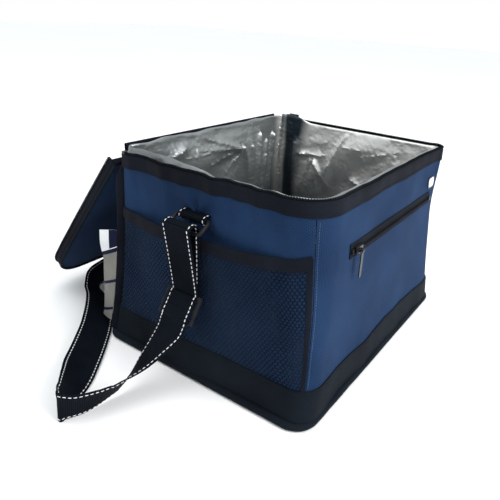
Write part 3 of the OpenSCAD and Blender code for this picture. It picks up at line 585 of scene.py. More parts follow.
threaded = [at_buckle(15.4, 2.9), at_buckle(9.0, 2.8), at_buckle(3.0, 2.8)]
strap_parts = []
for name, route, node in (
    ("drop", folded(-1, foot_in=5.0, length=70.0, tail=threaded), "strap_drop"),
    ("right_loop", folded(1, foot_in=5.0, length=30.0), "right_strap_loop"),
    ("left_tab", tab_route(-1), "left_tab"),
    ("right_tab", tab_route(1), "right_tab"),
):
    strap_parts += stitched_webbing(name, route, node)[:2]
print("webbing and stitching pieces:", len(strap_parts))

# %% [markdown]
# ## The wall that every layer follows
# Fabric, foam and film of the walls are layers of one form. A place on it is u, which counts the straight
# sides and the corners between them, a depth inside the outer face, and a height. The ends flare with the
# cube of the depth below the rim, the front and back lean evenly, and both front corners have radii of
# their own.

# %% Wall
BODY_H, BASE_W, BASE_D, RIM_W, RIM_D = 230.0, 356.0, 282.0, 314.0, 260.0
BASE_R, RIM_R_LEFT, RIM_R_RIGHT, BACK_R = 21.0, 42.0, 16.0, 14.0
BAND_TOP, POCKET_Z = 40.0, 169.0


def mix(a, b, t):
    """A value between two values."""
    return a + (b - a) * t


def ease(x):
    """A soft step from 0 to 1."""
    x = np.clip(x, 0, 1)
    return x * x * (3 - 2 * x)


def wall(u, inset, z):
    """Points of the wall in mm. On a side the point moves from its start to its end; in a corner it turns a
    quarter circle about the corner's centre. The inset moves it inwards, at right angles to the outline."""
    u, inset, z = np.broadcast_arrays(*(np.asarray(a, float) for a in (u, inset, z)))
    u = u % 8
    side = np.floor(u).astype(int) % 8
    t, k = u - side, side // 2
    w, d = mix(RIM_W, BASE_W, (1 - z / BODY_H) ** 3) / 2, mix(RIM_D, BASE_D, 1 - z / BODY_H) / 2
    radii = (BASE_R, RIM_R_LEFT), (BASE_R, RIM_R_RIGHT), (BACK_R, BACK_R)
    rl, rr, rb = (mix(at_base, at_rim, z / BODY_H) for at_base, at_rim in radii)
    turn = np.radians(180 + 90 * (k + t))
    reach = np.choose(k, [rl, rr, rb, rb]) - inset
    corner_x = np.choose(k, [rl - w, w - rr, w - rb, rb - w]) + reach * np.cos(turn)
    corner_y = np.choose(k, [rl - d, rr - d, d - rb, d - rb]) + reach * np.sin(turn)
    start_x, end_x = [inset - w, rl - w, w - inset, w - rb], [inset - w, w - rr, w - inset, rb - w]
    start_y, end_y = [d - rb, inset - d, rr - d, d - inset], [rl - d, inset - d, d - rb, d - inset]
    x = np.where(side % 2, corner_x, mix(np.choose(k, start_x), np.choose(k, end_x), t))
    y = np.where(side % 2, corner_y, mix(np.choose(k, start_y), np.choose(k, end_y), t))
    return np.stack([x, y, z], -1)


U_TABLE = np.linspace(-2, 10, 2401)
S_TABLE = lengths(wall(U_TABLE, 0, 150.0))


def girth(u):
    """Distance round the wall at about two thirds of its height, in mm."""
    return np.interp(u, U_TABLE, S_TABLE)


def places(a, b, step):
    """Values of u from a to b, about one step of mm apart."""
    s = np.linspace(girth(a), girth(b), int(np.ceil((girth(b) - girth(a)) / step)) + 1)
    return np.interp(s, S_TABLE, U_TABLE)


def from_seam(u):
    """The place u counted from the back left seam, from -0.5 to 7.5."""
    return (u + 0.5) % 8 - 0.5


print("girth of the bag:", round(float(girth(8) - girth(0))), "mm")

# %% [markdown]
# Cloth is never quite flat. A sum of seeded waves gives soft unevenness; where the tape gathers the cloth,
# waves that run only sideways make upright puckers, which die away below it. The same displacement moves
# every outer layer, so that none of them cuts through the next. It is held still where a zip slider has to
# pass.


# %% Drape
def waves(x, y, seed, short, long, count=7):
    """A sum of plane waves of random direction, length and phase, mostly between -1 and 1."""
    rng = np.random.default_rng(seed)
    length = rng.uniform(short, long, count)
    angle, phase = rng.uniform(0, 2 * np.pi, count), rng.uniform(0, 2 * np.pi, count)
    x, y = np.asarray(x, float)[..., None], np.asarray(y, float)[..., None]
    along = x * np.cos(angle) + y * np.sin(angle)
    return np.sin(along * 2 * np.pi / length + phase).sum(-1) / np.sqrt(count)


def between(x, low, high, soft):
    """1 inside a range and 0 outside it, with soft edges."""
    return ease((x - low) / soft + 0.5) * ease((high - x) / soft + 0.5)


def drape(u, z):
    """How far the outer cloth stands out from the plain wall, in mm."""
    u, z = np.broadcast_arrays(np.asarray(u, float), np.asarray(z, float))
    place = from_seam(u)
    s = girth(place)
    move = 1.3 * waves(s, z, 3, 80, 180)
    puckered = between(place, -0.5, 1.3, 0.3) + 0.15
    move = move + np.exp(-np.clip(216 - z, 0, None) / 34) * 1.5 * puckered * waves(s, 0 * s, 11, 24, 60, 5)
    move = move + np.exp(-np.clip(z - BAND_TOP, 0, None) / 24) * 0.5 * waves(s, 0 * s, 17, 30, 70, 5)
    for end in (0, 4):
        dx, dz = s - girth(end + 0.5), z - TAB_Z
        pull = np.exp(-np.hypot(dx, dz) / 38) * between(place, end - 0.3, end + 1.3, 0.2)
        move = move + 3.2 * pull * np.cos(5 * np.arctan2(dz, dx) + 0.6)
    rim = ease((z - 192) / 16) * np.maximum(between(place, 3.9, 5.2, 0.2), between(place, 5.2, 6.9, 0.2))
    zip_row = np.exp(-(((z - POCKET_Z) / 16) ** 2)) * between(place, 1.95, 3.05, 0.1)
    seam = np.minimum(s - girth(-0.5), girth(7.5) - s)
    corner = 5 * between(place, 3.05, 3.85, 0.4) * ease((z - 140) / 80)
    return np.maximum(move, -2.4) * (1 - np.clip(rim, 0, 1)) * (1 - zip_row) * ease(seam / 22) + corner


def layer(name, us, zs, outer, inner, closed=False):
    """A layer of the wall between two depths, over a list of places and heights, with the drape added."""
    u, z = pairs(us, zs)
    out = drape(u, z)
    return slab(name, wall(u, outer - out, z), wall(u, inner - out, z), closed)


def row(us, z, out):
    """A line along the wall at a height, so far outside it, with the direction away from the wall."""
    lift = drape(us, z)
    points = wall(us, -out - lift, z)
    return points, unit(points - wall(us, 3 - lift, z))


# %% [markdown]
# ## Walls
# Four panels of navy cloth meet in a seam in the middle of each corner. Behind them stand four panels of
# foam. The panels are slabs over a fine grid, so that the puckers are real shape and not paint.

# %% Panels and foam
foam = Finish("white_foam", Roughness=0.9, Subsurface_Weight=0.1)
cell = foam.use("TexVoronoi", Vector=foam.place, Scale=900.0)["Distance"]
foam.set(Base_Color=foam.blend(cell, (0.55, 0.54, 0.50), (0.86, 0.85, 0.80)))
foam.bump(cell, 0.6, 0.0006)
panel_z = np.concatenate([np.linspace(8.6, BAND_TOP, 9), np.linspace(43, 228.4, 70)])
PANELS = (("left_end", -0.5, 1.8), ("front", 1.5, 2.9), ("right_end", 3.5, 1.8), ("back", 5.5, 1.8))
for name, start, foam_out in PANELS:
    us = places(start + 0.006, start + 2 - 0.006, 2.6)
    put(layer(name + "_cloth", us, panel_z, 0.0, 1.2), navy_cloth, name + "_panel")
    u, z = pairs([*us[::3], us[-1]], np.linspace(8.8, 228.2, 40))
    pad = slab(name + "_padding", wall(u, foam_out + 2.2, z), wall(u, 7.3, z))
    put(pad, foam, name + "_foam")

# %% [markdown]
# ## Base
# A black band runs round the foot of the walls, and thick piping closes its lower edge. The band is a hoop:
# the last ring joins the first. The piping is a tube along the base outline with small lumps, as cord in
# cloth has.


# %% Base band, piping and bottom
def tube(name, path, r, sides, closed, lumps):
    """A round tube along a path: circles in the plane across the path's direction. Lumps vary its radius a
    little."""
    tangent = unit(np.roll(path, -1, 0) - np.roll(path, 1, 0) if closed else np.gradient(path, axis=0))
    side = unit(np.cross(tangent, np.where(np.abs(tangent[:, 2:]) > 0.9, [1.0, 0, 0], [0, 0, 1.0])))
    up = np.cross(side, tangent)
    angle = np.arange(sides)[:, None] * 2 * np.pi / sides
    radius = r * (1 + lumps * waves(np.arange(len(path)) * 2.0, np.zeros(len(path)), 23, 14, 60))
    circle = np.cos(angle) * side[:, None] + np.sin(angle) * up[:, None]
    return loft(name, path[:, None] + circle * radius[:, None, None], closed)


def filled(name, edge, low, high, rows=10):
    """A flat slab inside a closed line: the line is shrunk towards its middle in even steps, first on the
    upper face, then outwards again on the lower one."""
    middle = edge.mean(0)
    share = np.concatenate([np.linspace(0.004, 1, rows), np.linspace(1, 0.004, rows)])
    rings = middle + (edge - middle)[None] * share[:, None, None]
    rings[..., 2] = np.repeat([high, low], rows)[:, None]
    return loft(name, rings)


all_round = places(0, 8, 3.0)[:-1]
band_z = np.linspace(5.0, BAND_TOP, 15)
put(layer("base_band_cloth", all_round, band_z, -1.5, -0.3, closed=True), black_cloth, "base_band")
piping_path = wall(all_round, -1.0, 0.0) + [0, 0, 4.1]
base_cord = tube("base_piping_cloth", piping_path, r=4.0, sides=12, closed=True, lumps=0.03)
put(base_cord, black_cloth, "base_piping")
base_edge = wall(places(0, 8, 6.0)[:-1], 3.6, 0.0)
base_edge = base_edge[: len(base_edge) // 2 * 2]
put(filled("bottom_cloth", base_edge, low=0.1, high=1.2), black_cloth, "base_panel")
put(filled("base_padding", base_edge, low=3.9, high=8.1), foam, "base_foam")

# %% [markdown]
# ## Lining
# The lining is thin silver film, cut too large and sewn in at the top and bottom, so that it buckles. That
# is what a cloth simulation is good at: the film starts with a few drawn folds, grows by some per cent
# while its edges are held, and finds its own wrinkles. Afterwards no point may lie behind the foam or too
# far into the bag.

# %% Film
silver_film = film = Finish("silver_film", Metallic=0.68, Specular_IOR_Level=0.4)
fold, fine = (film.use(crinkle, Vector=film.place, Size=size)["Height"] for size in (0.055, 0.016))
cloud = film.cloud(0.11)
# Painted shade: the crinkle's height also sets the colour, so the film is painted darker along its creases
# and lighter on its ridges; the cloud adds random tone.
crease_shade_and_tone = film.total((fold, 0.6), (cloud, 0.25), (fine, 0.15))
tint = film.blend(crease_shade_and_tone, (0.135, 0.15, 0.157), (0.318, 0.336, 0.336))
# Two marks paint light on the film: the first is painted light that brightens the right wall, the second
# painted shade that darkens corners, the crest at the back right and the low part of the bag.
for mark, colour in (("painted_light", (0.80, 0.80, 0.77)), ("painted_shade", (0.028, 0.042, 0.055))):
    tint = film.blend(film.use("Attribute", {"attribute_name": mark})["Fac"], tint, colour)
film.set(Base_Color=tint, Roughness=film.ramp(cloud, 0.27, 0.40))
film.bump(film.total((fold, 1.0), (fine, 0.22)), 0.3, 0.004)


def marked(mesh, name, values):
    """Stores a number for every point of a mesh, for its finish to read."""
    mesh.attributes.new(name, "FLOAT", "POINT").data.foreach_set("value", values.ravel())


# %% Lining before it buckles
FILM_FLOOR = 9.2


def crest(u):
    """Height of the film where it turns over the rim: low at the front and right, where the zip runs, and
    puffed up at the back."""
    place = from_seam(u)
    s = girth(place)
    puffed = np.maximum(between(place, -0.6, 0.45, 0.4), between(place, 5.55, 7.7, 0.2))
    high = 230.6 + 0.5 * waves(s, 0 * s, 31, 30, 90, 5)
    high = high + (6.6 + 0.6 * waves(s, 0 * s, 37, 40, 90, 4)) * puffed
    high = mix(high, 229.8, between(place, 3.35, 4.75, 0.3))
    return high + 7 * between(place, 4.85, 5.5, 0.15)


def film_off(u, z):
    """How far the slack film stands off the foam in the construction: two families of slanting folds on
    each side."""
    u = np.asarray(u, float) % 8
    side = np.floor(u)
    x, y = wall(u, 0, np.clip(z, 0, 230))[..., :2].transpose(2, 0, 1)
    middle = np.where(side % 2 == 1, 0, np.sin(np.pi * (u - side)).clip(0) ** 0.6)
    held = np.clip(np.minimum((z - 8.5) / 40, (228.5 - z) / 22), 0, 1)
    folds = 2.2 * np.sin(2 * np.pi * (0.9 * x + 0.7 * y + 0.8 * z) / 95)
    folds = folds + 1.5 * np.sin(np.radians(40) + 2 * np.pi * (0.5 * x - 0.9 * y - 1.1 * z) / 71.25)
    return held * (0.8 + middle * (3 + folds))


def film_shape(u, v):
    """The film over v: 0 to 1 is the floor from the middle to the wall, 1 to 2 the wall, 2 to 3 the
    turned-over top."""
    top = crest(u)
    rise, over = np.clip(v - 1, 0, 1), np.clip(v - 2, 0, 1)
    bend = np.where(over < 0.5, 3 * np.sin(np.pi * over), mix(3, 229.4 - top + 3, ease((over - 0.5) / 0.3)))
    z = FILM_FLOOR + (top - 3 - FILM_FLOOR) * rise + bend
    inset = 8.2 + film_off(u, z) - 1.6 * ease(over / 0.7) - 4.9 * ease((over - 0.6) / 0.4)
    inset = inset - drape(u, 229.0) * ease((v - 1.8) / 0.25)
    points = wall(u, inset, np.clip(z, 0, 230))
    points[..., 2] = z
    middle = np.array([0.0, 0.0, FILM_FLOOR])
    return middle + (points - middle) * np.clip(v, 0.01, 1)[..., None]


BACK_FOLDS = [
    ((46, 202), (-41, 212), 3.2, 5), ((46, 202), (-36, 229), 2.6, 5), ((46, 200), (-19, 190), 3.0, 5),
    ((48, 198), (19, 172), 2.6, 5), ((50, 205), (69, 150), 3.6, 4), ((72, 204), (78, 150), 2.6, 5),
    ((92, 219), (90, 140), 2.6, 5), ((110, 206), (104, 130), 2.4, 4), ((126, 215), (121, 128), 4.0, 5),
    ((-61, 222), (-120, 196), 2.6, 7), ((-80, 200), (-130, 168), 2.2, 8), ((0, 160), (-60, 130), 2.4, 8),
    ((60, 120), (110, 60), 2.4, 8), ((-20, 90), (-90, 60), 2.4, 9),
]
RIGHT_FOLDS = [
    ((84, 184), (36, 188), 4.2, 5), ((57, 179), (29, 140), 3.2, 4), ((55, 178), (50, 135), 2.6, 4),
    ((62, 180), (78, 130), 2.6, 4), ((5, 226), (30, 172), 3.4, 4), ((28, 178), (36, 150), 2.4, 4),
    ((-20, 196), (-101, 220), 1.6, 8), ((-4, 161), (-70, 140), 2.0, 8), ((40, 110), (-30, 70), 2.4, 8),
    ((92, 204), (95, 120), 5.0, 5),
]


def drawn_folds(u, v):
    """The folds that stand out: each is a ridge along a line on the back or right wall, highest at its
    first end, and as wide as given. Between them lie soft billows."""
    place = from_seam(u)
    x, y, z = np.moveaxis(film_shape(u, v), -1, 0)
    move = 0.8 * waves(girth(place), z, 41, 40, 110)
    for first, along, folds in ((5.7, x, BACK_FOLDS), (3.7, y, RIGHT_FOLDS)):
        on_side = between(place, first, first + 1.6, 0.3)
        for (a0, z0), (a1, z1), high, wide in folds:
            da, dz = a1 - a0, z1 - z0
            t = np.clip(((along - a0) * da + (z - z0) * dz) / (da * da + dz * dz), 0, 1)
            off = np.hypot(along - a0 - t * da, z - z0 - t * dz) / (wide * (0.6 + 0.9 * t))
            move = move + on_side * 1.7 * high * (1 - 0.8 * t) * ease((t + 0.05) / 0.14) * np.exp(-(off**1.3))
    return move * ease((v - 1) / 0.12) * ease((2.05 - v) / 0.12)


film_u = np.concatenate([places(0, 3.4, 5.5)[:-1], places(3.4, 7.6, 2.3), places(7.6, 8, 5.5)[1:-1]])
film_u = film_u[: len(film_u) // 2 * 2]
FILM_ROWS = ((0, 1, 9), (1, 1.45, 22), (1.45, 2, 54), (2, 3, 10))
floor_v, low_v, high_v, top_v = (np.linspace(*ends) for ends in FILM_ROWS)
film_v = np.concatenate([floor_v[:-1], low_v[:-1], high_v, top_v[1:]])
uu, vv = pairs(film_u, film_v)
film_flat = film_shape(uu, vv)
inwards = unit(wall(uu, 9.0, 120.0) - wall(uu, 8.0, 120.0))
loose = ease((vv - 1) / 0.1) * ease((2.05 - vv) / 0.1)
folds = drawn_folds(uu, vv)
seeded = 0.35 * waves(girth(uu), vv * 200, 47, 18, 45, 9) * loose


def film_mesh(name, grid):
    """A sheet that closes on itself round the bag: quads between neighbouring columns and rows, facing into
    the bag."""
    n, k = grid.shape[:2]
    i, j = pairs(np.arange(n), np.arange(k - 1))
    h = np.arange(n // 2 - 1)
    cap = np.stack([h, h + 1, n - 2 - h, n - 1 - h], -1)
    ii = np.concatenate([np.stack([i, i, i + 1, i + 1], -1).reshape(-1, 4), cap])
    jj = np.concatenate([np.stack([j, j + 1, j + 1, j], -1).reshape(-1, 4), np.zeros_like(cap)])
    uv = np.stack([np.append(girth(film_u), girth(8))[ii], film_v[jj] * 220], -1) * MM
    return add_mesh(name, grid.reshape(-1, 3), (ii % n) * k + jj, uv)


# %% Letting the film buckle
def buckle(grid, held, growth, frames):
    """Cloth simulation of a sheet that grows while part of it is held. Returns the grid after the last
    frame."""
    trial = bpy.data.objects.new("film_trial", film_mesh("film_trial", grid))
    scene.collection.objects.link(trial)
    group = trial.vertex_groups.new(name="held")
    for weight in np.unique(held):
        group.add(np.flatnonzero(held.ravel() == weight).tolist(), float(weight), "REPLACE")
    cloth = trial.modifiers.new("cloth", "CLOTH")
    rules = cloth.settings
    rules.quality, rules.mass, rules.air_damping = 6, 0.12, 3.0
    rules.tension_stiffness = rules.compression_stiffness = 18.0
    rules.shear_stiffness, rules.bending_stiffness = 6.0, 2.5
    rules.shrink_min, rules.vertex_group_mass = -growth, "held"
    rules.effector_weights.gravity = 0.15
    cloth.collision_settings.use_collision = False
    for number in range(1, frames + 1):
        scene.frame_set(number)
    result = trial.evaluated_get(bpy.context.evaluated_depsgraph_get()).to_mesh()
    moved = np.zeros(len(result.vertices) * 3)
    result.vertices.foreach_get("co", moved)
    bpy.data.objects.remove(trial)
    scene.frame_set(1)
    return moved.reshape(grid.shape) / MM


film_start = film_flat + inwards * (0.6 * folds + seeded)[..., None]
film_end = film_start
film_end = buckle(film_start, np.where((vv <= 1.02) | (vv >= 2.1), 1.0, 0.55), growth=0.05, frames=16)
away = ((film_end - film_start) * inwards).sum(-1)
spread_mm, largest_mm = round(float(np.std(away)), 2), round(float(np.abs(away).max()), 1)
print("wrinkles from the simulation: spread", spread_mm, "mm, largest", largest_mm, "mm")
wrinkles = seeded + np.clip(away - np.median(away), -1.5, 1.5) * loose
depth = np.clip(folds + wrinkles, -0.5, 7.5) * ease((vv - 0.95) / 0.1)
lining = film_mesh("silver_lining", film_flat + inwards * depth[..., None])

# %% [markdown]
# Painted shade and painted light on the film: it is painted dark in the corners, beside the back right corner
# and low in the bag, where shade falls, and painted bright on the right wall, where the light falls. Two
# numbers for every point tell the finish so.

# %% Painted shade and light on the lining
# Painted shade in the corners and beside the back right corner, where the film lies in shade.
SHADED_CORNERS = ((7.5, 0.6), (3.5, 0.5), (1.5, 0.3))
corner_shade = sum(share * np.exp(-(((girth(uu) - girth(c)) / 9) ** 2)) for c, share in SHADED_CORNERS)
beside = girth(5.0) - girth(uu)
crest_shade = between(uu, 4.85, 5.55, 0.12)
corner_shade = corner_shade + ease((beside - 1) / 10) * (1 - ease((beside - 18) / 34))
corner_shade = corner_shade + 0.35 * between(uu, 4.95, 5.75, 0.3)
corner_shade = np.clip(corner_shade + 0.45 * crest_shade * ease((vv - 1.8) / 0.2), 0, 1)
corner_shade = corner_shade * ease((vv - 1) / 0.2) * ease((1.99 + 0.8 * crest_shade - vv) / 0.08)
# Painted shade low in the bag: the film is painted darker towards the floor.
deep = 0.66 * (1 - ease((film_flat[..., 2] - 90) / 115))
marked(lining, "painted_shade", np.maximum(corner_shade, deep))
# Painted light: the film on the right wall is painted brighter, as if lit.
marked(lining, "painted_light", 0.95 * ease((film_flat[..., 0] - 128) / 18))
shell = put(lining, silver_film, "liner").modifiers.new("thickness", "SOLIDIFY")
shell.thickness, shell.offset = 0.0004, 0.0
print("lining stands off the foam by up to", round(float(depth.max()), 1), "mm")

# %% [markdown]
# ## Rim
# Black tape binds the rim, and the zip's coil stands on it. A zip coil is a wire wound round a cord: a
# helix along the rim's own path, so it is a tube along a line that circles the path once for each turn.

# %% Rim tape
UP, FORWARD, COIL_TURN = np.array([0.0, 0, 1]), np.array([0, -1.0, 0]), 2.6
tape_z = np.array([214.8, 215.2, 217, 219, 221, 223, 225, 227, 228.6, 229.6, 230.1])
u, z = pairs(all_round, tape_z)
frill = 0.12 * waves(girth(from_seam(u)), z * 0, 53, 9, 30) * ease((222 - z) / 8)
lift = drape(u, z) + np.where(between(from_seam(u), 3.6, 7.2, 0.4) > 0.3, 0, frill)
soft_top = np.where(z > 229.8, 0.5, np.where(z > 229, 0.15, 0))
rim_sides = wall(u, -1.5 + soft_top - lift, z), wall(u, -0.3 - soft_top * 0.3 - lift, z)
put(slab("rim_tape_cloth", *rim_sides, True), black_tape, "rim_tape")


def coil(name, path, out, up, width, height, wire_r=0.42, steps=9):
    """A wound zip coil: the wire's middle line is the path plus a cosine out of it and a sine up, one
    circle for each turn of the coil. A small round section is carried along that line."""
    s = lengths(path)
    turns = int(s[-1] / COIL_TURN)
    at = np.linspace(0, s[-1], turns * steps)
    angle = np.linspace(0, turns * 2 * np.pi, len(at))[:, None]
    middle, out, up = (spread(at, s, np.broadcast_to(v, path.shape)) for v in (path, out, up))
    around = out * np.cos(angle) * width / 2 + up * np.sin(angle) * height / 2
    line, outward = middle + around, unit(around)[:, None]
    other = np.cross(along_line(line), outward[:, 0])[:, None]
    ring = np.radians(np.arange(6) * 60)[:, None]
    return loft(name, line[:, None] + wire_r * (np.cos(ring) * outward + np.sin(ring) * other))


# %% Zip and stitching round the rim
RIM_COIL_Z = 231.8
zip_u = places(0.0, 5.0, 1.5)
zip_line, zip_out = row(zip_u, 229.9, 0.0)
zip_line[:, 2] = RIM_COIL_Z
put(coil("rim_coil", zip_line, zip_out, UP, width=2.9, height=2.2), zip_nylon, "rim_zip_coil")


def tape_side(inset, heights=(229.2, 232.3)):
    """One face of the coil's tape, which keeps its height when the rim waves."""
    line = wall(zip_u, inset - drape(zip_u, 229.0), 229.9)
    return np.stack([np.where(UP > 0, z, line) for z in heights], 1)


put(slab("rim_coil_tape", tape_side(-0.45), tape_side(0.45)), black_tape)
stitch_u, seam_z = places(-0.5, 7.5, 1.5), np.linspace(42, 213, 90)
rim_rows = [row(stitch_u, 217.2, 1.65), row(stitch_u, 227.4, 1.6)]
put(stitches("rim_stitching", rim_rows, pitch=3.4, dash=2.4, r=0.32), thread_black)
band_rows = [row(stitch_u, 37.2, 1.65)]
put(stitches("band_stitching", band_rows, pitch=3.4, dash=2.4, r=0.34), thread_black)
seam_rows = [row(u + 0 * seam_z, seam_z, 0.15) for u in (1.55, 3.38)]
put(stitches("seam_stitching", seam_rows, pitch=3.0, dash=2.3, r=0.3), thread_navy)

# %% [markdown]
# ## Bindings, tag and patch
# The two back seams are bound with tape. A white tag with plain bars is sewn into the left one and curls a
# little; its lower part is painted grey as painted shade. A bare white patch with a dark edge sits high on
# the front.


# %% Bindings
def oblong(angle, power):
    """A circle's cosine and sine drawn out towards a square: the smaller the power, the squarer."""
    return [np.sign(c) * np.abs(c) ** power for c in (np.cos(angle), np.sin(angle))]


def fin_tape(name, u, z):
    """A fin of tape along a seam: oblong rings that stand out from the wall, lower where the rim tape
    begins, and sway."""
    angle = np.arange(24) * 2 * np.pi / 24
    fin = mix(2.5, 9.0, np.clip((214.7 - z) / 12, 0, 1)) + 0.25 * waves(z, 0 * z, 61, 20, 60)
    root = wall(u, 0.6, z)
    outward = unit(wall(u, -10, z) - root)
    sideways = np.cross(outward, UP)
    sway = 0.7 * waves(z, 0 * z, 67, 50, 120) * (fin / 9)
    reach = 0.5 + 0.5 * np.cos(angle)
    rings = root[:, None] + outward[:, None] * (reach * (fin[:, None] + 0.6))[..., None]
    across = 1.9 * oblong(angle, 0.6)[1] + sway[:, None] * reach
    return loft(name, rings + sideways[:, None] * across[..., None])


for name, u in (("back_left_binding", 7.5), ("back_right_binding", 5.5)):
    put(fin_tape(name + "_tape", u, np.linspace(40.3, 214.7, 60)), black_tape, name)
    put(fin_tape(name + "_foot", u, np.linspace(9.0, 40.2, 12)), black_tape)

# %% Tag
TAG_WIDE = 0.0198
label = Finish("white_label", Specular_IOR_Level=0.08)
satin = label.use(weave, Vector=label.uv, Pitch=0.0006)["Height"]
cloud = label.cloud(0.03)
along, round_it = label.use("SeparateXYZ", Vector=label.uv)[:2]
from_edge = label.calc("ABSOLUTE", label.calc("SUBTRACT", round_it, TAG_WIDE))
slanted = label.total((along, 1.0), (from_edge, 0.45))
upper = label.blend(cloud, (0.72, 0.74, 0.78), (0.86, 0.87, 0.88))
# Painted shade: the white tag's lower part, below the first bar, is painted grey as if it curled away from
# the light.
tag_shade_grey = label.blend(cloud, (0.17, 0.165, 0.15), (0.24, 0.235, 0.22))
paper = label.blend(label.ramp(slanted, 0, 1, 0.034, 0.035), upper, tag_shade_grey)
at_side, at_top = label.calc("GREATER_THAN", from_edge, 0.0105), label.calc("LESS_THAN", slanted, 0.030)
dark = label.calc("MULTIPLY", at_side, at_top)
for bar, half in ((0.0340, 0.0028), (0.0750, 0.0020), (0.1120, 0.0018)):
    dark = label.calc("MAXIMUM", dark, label.calc("COMPARE", slanted, bar, half))
label.set(Base_Color=label.blend(dark, paper, (0.006, 0.008, 0.030)), Roughness=label.ramp(satin, 0.6, 0.4))
label.bump(satin, 0.4, 0.0002)
zz, tt = pairs(np.linspace(136.5, 18.5, 50), np.linspace(0, 1, 14))
turn = mix(102, 128, ease((zz - 92) / 36)) - 8 * tt * ease((115 - zz) / 60) - 14 * ease((80 - zz) / 60)
c, s = np.cos(np.radians(turn)), np.sin(np.radians(turn))
tag = wall(7.5, -9.4, zz) + np.stack([c, s, 0 * c], -1) * (19.6 * tt)[..., None]
tag_piece = put(slab("sewn_tag", tag, tag + np.stack([s, -c, 0 * c], -1) * 0.3), label, "care_tag")


# %% Patch
def on_front(x, z, out):
    """A point on the front wall's flat, so far in front of it."""
    x, z, out = np.broadcast_arrays(*(np.asarray(a, float) for a in (x, z, out)))
    return np.stack([x, -mix(RIM_D, BASE_D, 1 - z / BODY_H) / 2 - out, z], -1)


PATCH_X, PATCH_Z = 128.1, 188.5
patch = Finish("white_patch", Roughness=0.45, Coat_Weight=0.2)
rim_line = patch.calc("GREATER_THAN", patch.use("SeparateXYZ", Vector=patch.uv)[0], 0.78)
plain = patch.blend(patch.cloud(0.02), (0.74, 0.75, 0.77), (0.86, 0.86, 0.87))
patch.set(Base_Color=patch.blend(rim_line, plain, (0.012, 0.016, 0.028)))
patch.bump(patch.use(weave, Vector=patch.place, Pitch=0.0007)["Height"], 0.3, 0.0002)
profile = np.array([
    (0.01, 1.1), (0.3, 1.1), (0.55, 1.1), (0.74, 1.1), (0.8, 1.15), (0.86, 1.35), (0.92, 1.4), (0.97, 1.25),
    (1.0, 0.9), (1.0, 0.35), (0.97, 0.3), (0.01, 0.3),
])
share, height = profile.T[..., None]
wide, tall = oblong(np.linspace(0, 2 * np.pi, 64, endpoint=False), 0.45)
rings = on_front(PATCH_X + share * 11 * wide, PATCH_Z + share * 7.5 * tall, height)
uv_rings = np.stack(pairs(profile[:, 0], np.linspace(0, 0.06, 65)), -1)
put(loft("sewn_patch", rings, uv=uv_rings), patch, "front_patch")

# %% [markdown]
# ## Front pocket
# The pocket's zip lies flat on the front: two tapes, a coil between them and rows of stitching. The pouch
# behind it is hidden, and a thin slack sheet stands for it.

# %% Pocket zip
POCKET_X0, POCKET_X1 = -98.0, 124.0
tape_x = np.linspace(POCKET_X0 - 1, POCKET_X1 + 1, 150)
for name, low, high in (("pocket_lower_tape", -8, -0.4), ("pocket_upper_tape", 0.4, 8)):
    xx, zz = pairs(tape_x, np.linspace(POCKET_Z + low, POCKET_Z + high, 9))
    raised = 1.25 + 0.12 * waves(xx, zz, 71, 20, 60) - 0.7 * ease(np.abs(zz - POCKET_Z) - 7)
    put(slab(name, on_front(xx, zz, raised), on_front(xx, zz, 0.3)), black_tape, "pocket_zip_tapes")
coil_line = on_front(np.linspace(POCKET_X0 + 4, POCKET_X1 - 4, 200), POCKET_Z, 2.35)
pocket_coil = coil("pocket_coil", coil_line, FORWARD, UP, width=1.0, height=3.6, wire_r=0.34)
put(pocket_coil, zip_nylon, "pocket_zip_coil")
rows = [(on_front(tape_x, POCKET_Z + dz, 1.35), FORWARD) for dz in (-6.3, -3.4, 3.4, 6.3)]
put(stitches("pocket_stitching", rows, pitch=3.2, dash=2.3, r=0.3), thread_black)
xx, zz = pairs(np.linspace(POCKET_X0, POCKET_X1, 40), np.linspace(64.2, 177, 24))
put(slab("pocket_lining", on_front(xx, zz, -4.0), on_front(xx, zz, -4.6)), black_cloth, "pocket_pouch")

# %% [markdown]
# ## Mesh pockets
# Each end has a net pocket, bound with tape along its sagging top edge. The net is one sheet; its holes are
# cut by the open-net group through the Alpha socket, so light passes through them and they show the navy
# cloth behind.

# %% Net shape
net_cloth = Finish("net_cloth", Roughness=0.75, Specular_IOR_Level=0.04)
threads = net_cloth.use(net, Vector=net_cloth.uv)
# Painted light and shade: soft lighter patches in the thread colour stand in for light on the net's slack
# folds.
net_colour_with_fold_light = net_cloth.blend(net_cloth.cloud(0.06), (0.002, 0.003, 0.005), (0.017, 0.024, 0.033))
net_cloth.set(Base_Color=net_colour_with_fold_light, Alpha=threads["Thread"])
net_cloth.bump(threads["Height"], 0.6, 0.0005)
MESH_U0, MESH_U1, MESH_Z0 = -0.3, 1.45, 40.3
mesh_u = places(MESH_U0, MESH_U1, 2.2)


def mesh_top(u):
    """Height of the pocket's top edge: a straight rise to the front with a sag in its middle."""
    t = (u - MESH_U0) / (MESH_U1 - MESH_U0)
    return mix(168, 178, t) - 5 * np.sin(np.pi * np.clip(t, 0, 1))


def mesh_out(u, z):
    """How far the net stands off the wall: a billow over the end that starts at the band, and a few slack
    pleats."""
    rise = (z - MESH_Z0) / (mesh_top(u) - MESH_Z0)
    billow = 12 * np.sin(np.pi * np.clip(u, 0, 1)) * np.sin(np.pi / 2 * np.clip(rise / 0.4, 0, 1))
    s, swell = girth(u), np.sin(np.pi * np.clip(rise, 0, 1))
    slack = 1.3 * waves(s, z, 83, 35, 90) * swell * between(u, 0.05, 1.1, 0.2)
    pleat = 3.0 * np.exp(-(((s - girth(0.93) + (z - 110) * 0.05) / 4) ** 2)) * swell**0.5
    return np.maximum(billow + slack, 0.2 * billow) + pleat


